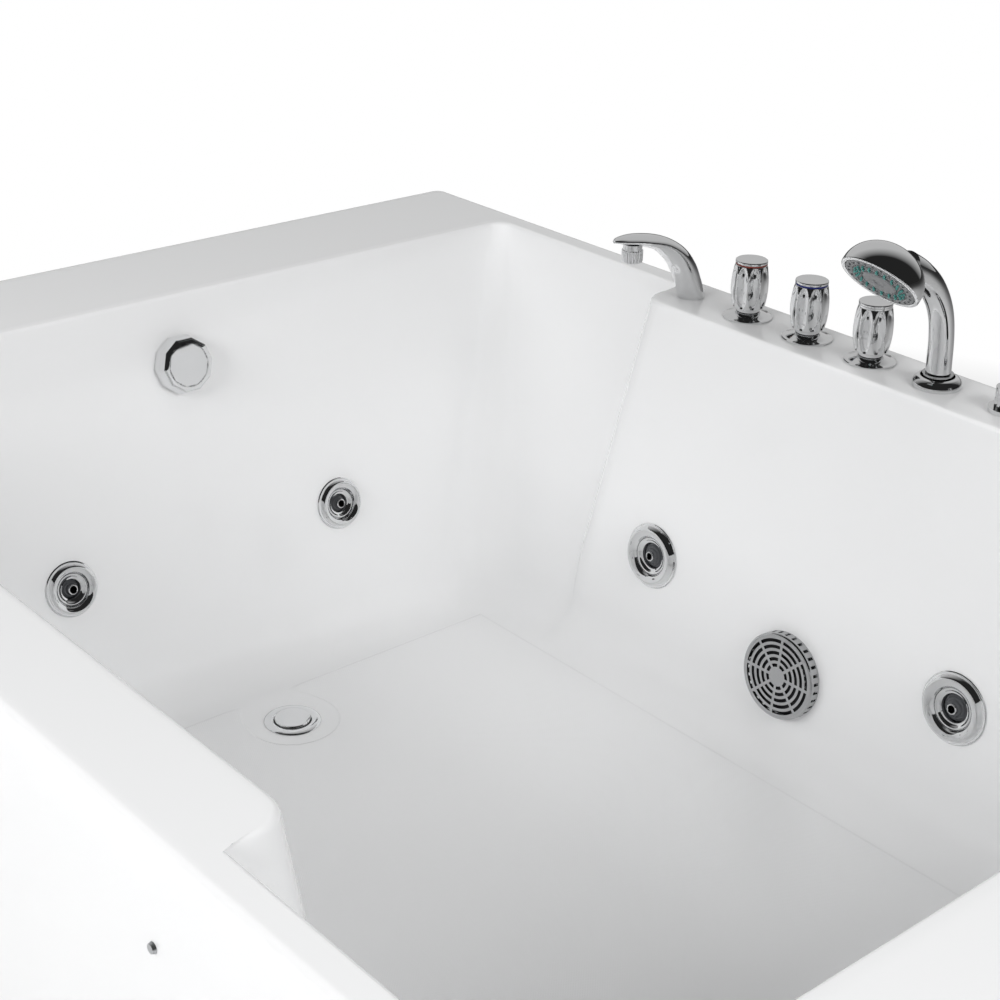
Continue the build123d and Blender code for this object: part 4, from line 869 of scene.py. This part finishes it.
@dataclass(frozen=True)
class Tap:
    """A fluted knob on its flange, with a flat cap and, on two of them, a coloured band."""

    name: str
    number: int
    band: Union[Finish, None]
    flange_radius: float = 29.5
    base: float = 8.3
    neck_radius: float = 14.0
    neck_height: float = 6.0
    barrel: float = 51.0
    end_radius: float = 19.0
    mid_radius: float = 22.4
    flutes: int = 9
    flute_depth: float = 2.6
    turned: float = 0.35

    def flange(self) -> Piece:
        """The flange: a thin disc that rises in a low dome to the neck."""
        dome = spline([(self.flange_radius - 0.8, 2.2), (25.5, 3.2), (20.5, 5.6), (17.0, 7.4), (15.6, 8.0)], 18)
        profile = np.concatenate([[(self.flange_radius - 0.4, 0.0), (self.flange_radius, 0.4),
                                   (self.flange_radius, 1.7)], dome, [(5.4, 8.0), (5.4, 0.2)]])
        return Piece(f"{self.name}_flange", [revolved(PLAN.deck_seat(self.number), profile)], Finish.CHROME, "tub",
                     "chrome")

    def radius(self, angle: np.ndarray, share: np.ndarray) -> np.ndarray:
        """The barrel's radius: a bowed barrel, less flutes that are scooped between ridges and close at both ends.

        Args:
            angle: the angle round the knob.
            share: the height as a share of the barrel.

        Returns:
            The radius in millimetres.
        """
        bow = self.end_radius + (self.mid_radius - self.end_radius) * (1.0 - (2.0 * share - 1.0) ** 2)
        place = (angle * self.flutes / TURN + self.turned) % 1.0 * 2.0 - 1.0
        width = 0.93 * np.sqrt(np.clip(1.0 - np.abs(2.0 * share - 1.0) ** 3.2, 0.0, 1.0))
        scoop = np.clip(1.0 - (place / np.maximum(width, 1e-3)) ** 2, 0.0, 1.0)
        return bow - self.flute_depth * scoop * np.minimum(1.0, 1.35 * width)

    def knob(self) -> Piece:
        """The knob: neck, fluted barrel, groove for the band, and a cap with an eased edge."""
        place = PLAN.deck_seat(self.number, self.base)
        angle = np.linspace(0.0, TURN, 40 * self.flutes // 2, endpoint=False)
        share = np.linspace(0.0, 1.0, 44)[:, None]
        r = self.radius(angle[None, :], share)
        h = self.neck_height + self.barrel * share + 0.0 * r
        barrel = Skin(place.at(r * np.cos(angle), r * np.sin(angle), h))
        start = [(5.4, 0.1), (self.neck_radius, 0.1), (self.neck_radius, self.neck_height - 1.0),
                 (self.end_radius - 1.2, self.neck_height - 0.6), (self.end_radius, self.neck_height)]
        top = self.neck_height + self.barrel
        groove = self.end_radius - (1.6 if self.band else 0.0)
        cap = np.concatenate([
            [(self.end_radius, top), (self.end_radius - 0.4, top + 0.3), (groove - 0.2, top + 0.4),
             (groove - 0.2, top + 2.3)],
            eased([(self.end_radius - 0.3, top + 2.4), (self.end_radius, top + 2.7), (self.end_radius, top + 5.2),
                   (self.end_radius - 1.1, top + 6.0), (self.end_radius - 1.9, top + 5.75),
                   (0.02, top + 5.75)], 0.5, 4),
        ])
        neck = revolved(place, start, fill_start=True)
        return Piece(f"{self.name}_handle", [neck, barrel, revolved(place, cap, fill_end=True)], Finish.CHROME,
                     f"{self.name}_tap", "chrome", [f"{self.name}_knob"])

    def ring(self) -> Piece:
        """The coloured band under the cap: a thin ring with a round outer edge."""
        place = PLAN.deck_seat(self.number, self.base + self.neck_height + self.barrel)
        edge = self.end_radius + 0.05
        profile = [(edge - 2.8, 0.6), (edge - 0.6, 0.6), (edge - 0.2, 0.9), (edge - 0.2, 1.8), (edge - 0.6, 2.1),
                   (edge - 2.8, 2.1)]
        return Piece(f"{self.name}_ring", [revolved(place, eased(profile, 0.3, 3))], self.band, f"{self.name}_tap",
                     f"band_{self.band.name.lower()}", [f"{self.name}_band"])

    def pieces(self) -> list[Piece]:
        """All the tap's pieces."""
        return [self.flange(), self.knob(), *([self.ring()] if self.band else [])]


@dataclass(frozen=True)
class Spout:
    """The spout: a column that bends over into a leaf-shaped blade with a crease along each side."""

    stations: tuple[tuple[float, ...], ...] = (
        (0.0, 0.0, 0.0, 16.0, 17.0, 0.0),
        (8.0, 20.0, 22.0, 16.0, 16.3, 0.05),
        (18.0, 40.0, 30.0, 17.0, 15.3, 0.2),
        (35.0, 61.0, 47.0, 18.5, 12.8, 0.55),
        (62.0, 79.0, 65.0, 20.0, 9.3, 0.9),
        (95.0, 89.0, 79.0, 19.0, 6.8, 1.0),
        (122.0, 93.0, 87.0, 12.0, 4.3, 1.0),
        (136.5, 94.0, 92.0, 2.8, 1.8, 1.0),
    )
    rows: int = 90
    columns: int = 96

    def body(self) -> Piece:
        """The column and blade: at each station an ellipse across the line, whose sides sharpen with the crease."""
        reach, rise, lean, half_across, half_deep, crease = spline(self.stations, self.rows).T[:, :, None]
        angle = np.linspace(0.0, TURN, self.columns, endpoint=False)[None, :]
        side, deep = np.cos(angle), np.sin(angle)
        sharp = 1.0 - 0.30 * crease * np.abs(side) ** 3
        x = half_across * side
        y = half_deep * deep * sharp
        lean = np.radians(lean)
        base = PLAN.deck_seat(0)
        points = base.at(x, -reach + y * np.cos(lean), rise + y * np.sin(lean))
        skin = Skin(points, fill_start=True, fill_end=True)
        return Piece("spout_arch", [skin], Finish.CHROME, "tub", "chrome", ["spout_body"], crease=60.0)

    def aerator(self) -> Piece:
        """The aerator: a ribbed ring under the blade with its mesh plate set inside."""
        place = seat((PLAN.first_x, PLAN.deck_y - 106.0, PLAN.rim + 80.0), (1, 0, 0), (0, 0, -1))
        angle = np.linspace(0.0, TURN, 24 * 8, endpoint=False)
        ribs = 0.35 * np.cos(24 * angle)[None, :]
        ribbed = np.array([0.0, 0.0, 1.0, 1.0, 0.0, 0.0])[:, None]
        r = np.array([11.4, 11.4, 12.4, 12.4, 12.0, 10.0])[:, None] + ribs * ribbed
        h = np.array([-6.5, 0.0, 1.0, 13.0, 15.0, 15.0])[:, None] + 0.0 * ribs
        shell = Skin(place.at(r * np.cos(angle), r * np.sin(angle), h))
        plate = revolved(place, [(10.0, 15.0), (9.8, 12.0), (0.05, 12.0)], 48, fill_end=True)
        return Piece("aerator", [shell, plate], Finish.CHROME, "tub", "chrome", ["spout_aerator"])

    def pieces(self) -> list[Piece]:
        """Both pieces."""
        return [self.body(), self.aerator()]


@dataclass(frozen=True)
class HandShower:
    """The hand shower: a curved stem that runs into the back of a domed head with a grey spray face."""

    number: int = 4
    stem: tuple[tuple[float, ...], ...] = (
        (0.0, 15.6, 0.0, 14.0),
        (2.5, 58.0, 8.0, 13.6),
        (11.0, 90.0, 20.0, 13.6),
        (30.0, 118.0, 43.0, 14.2),
        (55.0, 138.0, 56.0, 15.5),
        (80.0, 151.0, 62.0, 17.0),
    )
    face_reach: float = 121.0
    face_height: float = 141.0
    tilt: float = 43.0
    head_radius: float = 45.0
    rim_height: float = 5.0
    head_depth: float = 42.0
    face_radius: float = 40.0

    def head_seat(self) -> Seat:
        """The seat of the spray face, with its out direction through the head's back."""
        base = PLAN.deck_seat(self.number)
        tilt = math.radians(self.tilt)
        origin = base.at(0.0, -self.face_reach, self.face_height)
        return seat(origin, (1, 0, 0), (0, math.sin(tilt), math.cos(tilt)))

    def body(self) -> Piece:
        """The stem, a circle carried along its line, and the head, an ellipse turned about its axis."""
        base = PLAN.deck_seat(self.number)
        reach, rise, lean, radius = spline(self.stem, 60).T[:, :, None]
        angle = np.linspace(0.0, TURN, 72, endpoint=False)[None, :]
        x, y, lean = radius * np.cos(angle), radius * np.sin(angle), np.radians(lean)
        stem = Skin(base.at(x, -reach + y * np.cos(lean), rise + y * np.sin(lean)), fill_start=True, fill_end=True)
        quarter = np.linspace(0.0, 0.5 * math.pi, 30)[:-1]
        dome = np.stack([self.head_radius * np.cos(quarter),
                         self.rim_height + (self.head_depth - self.rim_height) * np.sin(quarter)], axis=-1)
        rim = eased([(self.face_radius + 0.3, 4.0), (self.face_radius + 0.3, 0.5), (self.face_radius + 1.2, 0.0),
                     (self.head_radius - 1.0, 0.0), (self.head_radius, 1.2), (self.head_radius, 4.9)], 0.8, 4)
        head = revolved(self.head_seat(), np.concatenate([rim, dome, [(0.05, self.head_depth)]]), fill_end=True)
        spigot = revolved(base, [(10.0, -34.0), (10.0, 15.9)], 48, fill_start=True, fill_end=True)
        return Piece("shower_handle", [stem, head, spigot], Finish.CHROME, "hand_shower", "chrome",
                     ["hand_shower_body"], crease=40.0)

    def face(self) -> list[Piece]:
        """The spray face: a grey plate with a raised centre, a turquoise ring and a circle of small studs."""
        place = self.head_seat()
        plate = eased([(self.face_radius, 5.6), (self.face_radius, 0.6), (self.face_radius - 1.0, 0.1),
                       (31.6, 0.1), (31.3, 1.2), (20.0, 1.2), (19.6, -0.2), (17.5, -0.8), (6.0, -0.8), (5.0, 0.0),
                       (0.05, 0.0)], 0.5, 3)
        grey = revolved(place, plate, fill_start=True, fill_end=True)
        bed = revolved(place, eased([(31.0, 1.3), (30.6, 0.5), (20.9, 0.5), (20.5, 1.3)], 0.4, 3))
        spikes = [self.stud(place, r, a, 1.25, -1.5) for r, n in ((23.2, 16), (26.0, 18), (28.8, 20))
                  for a in np.linspace(0.0, TURN, n, endpoint=False) + 0.1 * r]
        dots = [self.stud(place, 35.8, a, 1.5, -0.7) for a in np.linspace(0.0, TURN, 24, endpoint=False)]
        return [
            Piece("spray_plate", [grey], Finish.FACE, "spray_selector", "face_grey", ["shower_face"]),
            Piece("spray_dots", [bed, *dots], Finish.NOZZLE, "spray_selector", "face_grey"),
            Piece("spray_nozzles", spikes, Finish.TURQUOISE, "spray_selector", "nozzle_rubber", ["shower_nozzles"]),
        ]

    def stud(self, place: Seat, radius: float, angle: float, half: float, top: float) -> Skin:
        """A small stud on the face: a short tapering tube with a closed end.

        Args:
            place: the face's seat.
            radius: how far out the stud is.
            angle: where round the face it is.
            half: the stud's radius.
            top: the height of its end, below zero towards the water.

        Returns:
            The stud's skin.
        """
        origin = place.at(radius * math.cos(angle), radius * math.sin(angle), 0.0)
        own = Seat(origin, place.across, place.up, place.out)
        return revolved(own, [(half, 1.0), (0.85 * half, top + 0.3), (0.5 * half, top)], 8, fill_end=True)

    def base(self) -> list[Piece]:
        """The guide's domed ring on the deck and the collar's thin flange on it."""
        place = PLAN.deck_seat(self.number)
        dome = spline([(26.6, 2.6), (25.6, 7.0), (23.0, 10.4), (19.6, 12.0)], 16)
        ring = np.concatenate([[(26.6, 0.0), (27.0, 0.5), (27.0, 2.2)], dome, [(13.1, 12.0), (13.1, 2.0)]])
        collar = eased([(10.4, 2.0), (10.4, 15.2), (16.4, 15.3), (17.0, 14.6), (17.0, 12.4), (13.0, 12.3),
                        (13.0, 2.0)], 0.6, 4)
        return [
            Piece("shower_base_ring", [revolved(place, ring)], Finish.CHROME, "tub", "chrome"),
            Piece("shower_collar_flange", [revolved(place, collar)], Finish.SATIN_CHROME, "shower_swivel",
                  "collar_chrome"),
        ]

    def pieces(self) -> list[Piece]:
        """All its pieces."""
        return [self.body(), *self.face(), *self.base()]


@dataclass(frozen=True)
class Overflow:
    """The overflow's turning knob: a faceted drum that tapers to a flat, mirror-bright face."""

    drop: float = 81.0
    facets: int = 10
    base_radius: float = 36.5
    face_radius: float = 32.0
    height: float = 22.0

    def outline(self, radius: np.ndarray, angle: np.ndarray, sharp: float) -> np.ndarray:
        """A polygon's outline: the radius over the cosine of the angle from the nearest facet, eased by sharp."""
        place = (angle * self.facets / TURN) % 1.0 - 0.5
        edge = math.cos(math.pi / self.facets) / np.cos(place * TURN / self.facets)
        return radius * (1.0 + sharp * (edge - 1.0))

    def piece(self) -> Piece:
        """The drum: rows of the outline from the wall to the face, then a plain disc."""
        place = PLAN.end_wall(PLAN.line_y, self.drop)
        angle = np.linspace(0.0, TURN, 24 * self.facets, endpoint=False)[None, :]
        rows = eased([(self.base_radius - 1.0, 0.4), (self.base_radius, 1.4), (self.base_radius, 11.0),
                      (self.face_radius + 1.6, self.height - 1.2), (self.face_radius, self.height),
                      (self.face_radius - 6.0, self.height)], 1.4, 5)
        r = self.outline(rows[:, :1], angle, 1.0)
        wall = Skin(place.at(r * np.cos(angle), r * np.sin(angle), rows[:, 1:] + 0.0 * r), fill_start=True)
        flat = revolved(place, [(self.face_radius - 5.0, self.height), (0.05, self.height)], 96, fill_end=True)
        spindle = revolved(place, [(5.0, -51.5), (5.0, 0.5)], 40, fill_start=True)
        return Piece("overflow_handle", [wall, flat, spindle], Finish.CHROME, "overflow_control", "chrome",
                     ["overflow_knob"], crease=24.0)


@dataclass(frozen=True)
class Suction:
    """A near-black disc behind the suction cover's slots: painted shade for the hollow there."""

    drop: float = 377.0
    radius: float = 49.8
    lift: float = 2.0

    def pieces(self) -> list[Piece]:
        """The painted shade: a plain near-black disc at the hollow's back."""
        place = PLAN.deck_wall(PLAN.line_x, self.drop)
        disc = revolved(place, [(self.radius, self.lift - 0.6), (self.radius, self.lift), (0.05, self.lift)],
                        fill_start=True, fill_end=True)
        # Near-black disc: painted shade where the hollow behind the cover lies in shadow.
        return [Piece("suction_hollow", [disc], Finish.BORE, "tub", "nozzle_grey")]


@dataclass(frozen=True)
class Drain:
    """The drain: a wide flat ring in the dished floor and the stopper's crowned cap in it."""

    x: float = -424.0
    floor: float = 120.6

    def pieces(self) -> list[Piece]:
        """The ring and the stopper."""
        place = seat((self.x, PLAN.line_y, self.floor), (1, 0, 0), (0, 0, 1))
        ring = np.concatenate([[(34.7, 0.1), (35.0, 0.6)],
                               spline([(34.6, 1.2), (33.0, 2.1), (30.0, 2.8), (27.0, 3.0), (24.2, 2.7)], 16),
                               [(23.2, 2.0), (23.0, 1.2), (23.0, 0.1)]])
        cap = np.concatenate([[(4.0, -44.0), (4.0, 1.9), (21.2, 2.0), (22.0, 2.6), (22.0, 4.0)],
                              spline([(21.6, 4.6), (20.6, 5.0), (14.0, 5.35), (6.0, 5.5), (0.05, 5.5)], 14)])
        return [
            Piece("drain_ring", [revolved(place, ring)], Finish.CHROME, "tub", "chrome", ["drain_flange"]),
            Piece("stopper_cap", [revolved(place, cap, fill_start=True, fill_end=True)], Finish.CHROME,
                  "drain_stopper", "chrome", ["drain_plug"]),
        ]


@dataclass(frozen=True)
class CarriedNodes:
    """The finishes of the nodes that keep their own shape."""

    finishes: dict[str, Finish] = field(default_factory=lambda: {
        "front_apron": Finish.ACRYLIC,
        "shower_guide": Finish.CHROME,
        "shower_collar": Finish.SATIN_CHROME,
        "knob_flanges": Finish.CHROME,
        "air_control_body": Finish.CHROME,
        "air_control_knob": Finish.CHROME,
        "air_switch_body": Finish.CHROME,
        "air_switch_button": Finish.CHROME,
        "suction_cover": Finish.SATIN_CHROME,
        "suction_body": Finish.PIPE,
        "jet_bodies": Finish.PIPE,
        "overflow_body": Finish.PIPE,
        "overflow_pipe": Finish.PIPE,
        "drain_body": Finish.PIPE,
        "water_pipes": Finish.PIPE,
        "air_pipes": Finish.PIPE,
        "suction_pipe": Finish.PIPE,
        "drain_cable": Finish.CABLE,
        "base_boards": Finish.BOARD,
        "frame_rails": Finish.FRAME,
        "frame_crossbars": Finish.FRAME,
        "frame_posts": Finish.FRAME,
        "levelling_feet": Finish.ZINC,
        "apron_screws": Finish.ZINC,
        "pump_motor": Finish.MOTOR,
        "pump_volute": Finish.PUMP,
        "pump_impeller": Finish.PUMP,
        "valve_bodies": Finish.BRASS,
        "spout_shank": Finish.BRASS,
        "supply_tubes": Finish.BRASS,
        "hot_spindle": Finish.BRASS,
        "cold_spindle": Finish.BRASS,
        "diverter_spindle": Finish.BRASS,
    })

    def dress(self) -> None:
        """Gives each carried node its material."""
        for name, finish in self.finishes.items():
            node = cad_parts[name]
            node.data.materials.clear()
            node.data.materials.append(WARDROBE.get(finish))
            log.info("%s: %s", name, finish.name.lower())


# Studio


@dataclass(frozen=True)
class Lamp:
    """A soft rectangular lamp: where it stands, what it points at, its size, its power and whether mirrors show it."""

    name: str
    place: tuple[float, float, float]
    target: tuple[float, float, float]
    size: tuple[float, float]
    power: float
    mirrored: bool = False

    def build(self) -> None:
        """Adds the lamp."""
        data = bpy.data.lights.new(self.name, "AREA")
        data.shape = "RECTANGLE"
        data.size, data.size_y = self.size
        data.energy = self.power
        lamp = bpy.data.objects.new(self.name, data)
        lamp.location = self.place
        lamp.rotation_euler = (Vector(self.target) - Vector(self.place)).to_track_quat("-Z", "Y").to_euler()
        lamp.visible_glossy = self.mirrored
        bpy.context.scene.collection.objects.link(lamp)


@dataclass(frozen=True)
class Studio:
    """The pale floor, the world and the lamps."""

    floor_size: float = 60.0
    near: float = 1.5
    far: float = 2.2
    ambient: float = 0.03
    backdrop: tuple[float, float, float] = (-0.72, 0.60, 0.34)
    backdrop_edge: float = 0.55
    backdrop_blend: float = 0.5
    backdrop_level: float = 0.55
    room_level: float = 0.02
    lamps: tuple[Lamp, ...] = (
        Lamp("overhead", (0.3, -0.2, 3.2), (-0.1, 0.0, 0.4), (2.6, 2.0), 18.0),
        Lamp("right", (2.6, 0.4, 2.0), (-0.6, 0.0, 0.4), (1.4, 1.4), 37.0),
        Lamp("right_high", (2.8, -0.4, 2.2), (-0.6, 0.0, 0.35), (1.6, 1.4), 17.0),
        Lamp("frontal", (0.2, -3.0, 1.9), (0.0, 0.3, 0.4), (1.8, 1.2), 54.0),
        Lamp("left_front", (-1.6, -2.4, 1.9), (0.1, 0.4, 0.4), (1.4, 1.2), 22.0),
        Lamp("front_low", (2.4, -1.9, 0.95), (-0.5, 0.1, 0.45), (1.8, 0.8), 6.5),
        Lamp("back", (-1.9, 1.7, 2.4), (0.1, -0.2, 0.3), (1.6, 1.6), 16.0),
    )

    def floor(self) -> None:
        """The floor: a diffuse sheet near the tub that turns into plain white further out, as seen by eye."""
        half = 0.5 * self.floor_size
        corners = np.array([(-half, -half, 0.0), (half, -half, 0.0), (half, half, 0.0), (-half, half, 0.0)]) - (0, 0, 4e-4)
        mesh = bpy.data.meshes.new("studio_floor")
        mesh.from_pydata(corners.tolist(), [], [(0, 1, 2, 3)])
        recipe = Recipe(bpy.data.materials.new("studio_floor"))
        x, y, z = recipe.axes()
        distance = (x * x + y * y).math("SQRT")
        path = recipe.node("ShaderNodeLightPath", {}, {})
        eye = Signal(recipe, path.outputs["Is Camera Ray"])
        white = distance.above(0.5 * (self.near + self.far), self.far - self.near) * eye
        sheet = recipe.node("ShaderNodeBsdfDiffuse", {}, {"Color": (0.86, 0.86, 0.86, 1.0)})
        glow = recipe.node("ShaderNodeEmission", {}, {"Color": (1.0, 1.0, 1.0, 1.0), "Strength": 1.0})
        mix = recipe.node("ShaderNodeMixShader", {}, {0: white, 1: sheet.outputs[0], 2: glow.outputs[0]})
        recipe.node("ShaderNodeOutputMaterial", {}, {"Surface": mix.outputs[0]})
        mesh.materials.append(recipe.owner)
        floor = bpy.data.objects.new("studio_floor", mesh)
        bpy.context.scene.collection.objects.link(floor)

    def world(self) -> None:
        """The world: plain white to the eye, soft ambient light, and to mirrors a dark room with a pale backdrop."""
        recipe = Recipe(bpy.data.worlds.new("studio"))
        bpy.context.scene.world = recipe.owner
        path = recipe.node("ShaderNodeLightPath", {}, {})
        eye, gloss = (Signal(recipe, path.outputs[name]) for name in ("Is Camera Ray", "Is Glossy Ray"))
        way = recipe.node("ShaderNodeTexCoord", {}, {}).outputs["Generated"]
        facing = recipe.node("ShaderNodeVectorMath", {"operation": "DOT_PRODUCT"}, {0: way, 1: self.backdrop})
        pale = Signal(recipe, facing.outputs["Value"]).above(self.backdrop_edge, self.backdrop_blend)
        room = pale * (self.backdrop_level - self.room_level) + self.room_level
        level = gloss * (room - self.ambient) + self.ambient
        strength = eye * (1.0 - level) + level
        sky = recipe.node("ShaderNodeBackground", {}, {"Color": (1.0, 1.0, 1.0, 1.0), "Strength": strength})
        recipe.node("ShaderNodeOutputWorld", {}, {"Surface": sky.outputs[0]})

    def build(self) -> None:
        """Builds the studio."""
        self.floor()
        self.world()
        for lamp in self.lamps:
            lamp.build()


@dataclass(frozen=True)
class Viewpoint:
    """The photograph's viewpoint: place, heading, fall and roll of the camera, and its lens."""

    place: tuple[float, float, float] = (1.2202, -1.0884, 1.345)
    heading: float = 48.95
    fall: float = 25.08
    roll: float = 1.4
    lens: float = 67.68

    def build(self) -> None:
        """Adds the camera: its right and up directions come from the heading, fall and roll."""
        a, e, r = (math.radians(v) for v in (self.heading, self.fall, self.roll))
        ahead = np.array([-math.sin(a) * math.cos(e), math.cos(a) * math.cos(e), -math.sin(e)])
        level = np.array([math.cos(a), math.sin(a), 0.0])
        upright = np.cross(level, ahead)
        right = level * math.cos(r) + upright * math.sin(r)
        up = upright * math.cos(r) - level * math.sin(r)
        matrix = np.eye(4)
        matrix[:3, 0], matrix[:3, 1], matrix[:3, 2], matrix[:3, 3] = right, up, -ahead, self.place
        data = bpy.data.cameras.new("photo_camera")
        data.lens = self.lens
        data.sensor_width = 36.0
        data.clip_end = 100.0
        camera = bpy.data.objects.new("photo_camera", data)
        camera.matrix_world = Matrix(matrix.tolist())
        bpy.context.scene.collection.objects.link(camera)
        bpy.context.scene.camera = camera
        bpy.context.scene.view_settings.view_transform = "Standard"


def main() -> None:
    """Builds the studio, dresses the carried nodes and makes the detailed fittings."""
    logging.basicConfig(level=logging.INFO, format="%(message)s")
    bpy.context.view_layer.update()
    Viewpoint().build()
    Studio().build()
    CarriedNodes().dress()
    taps = [Tap("hot", 1, Finish.RED), Tap("cold", 2, Finish.BLUE), Tap("diverter", 3, None)]
    fittings: list[Any] = [*taps, Spout(), HandShower(), Suction(), Drain()]
    for fitting in fittings:
        for piece in fitting.pieces():
            made = piece.build()
            if piece.name.endswith("_flange") and piece.body == "tub":
                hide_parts("knob_flanges")
    Shell().piece().build()
    Overflow().piece().build()
    Jets().build()


if __name__ == "__main__":
    main()
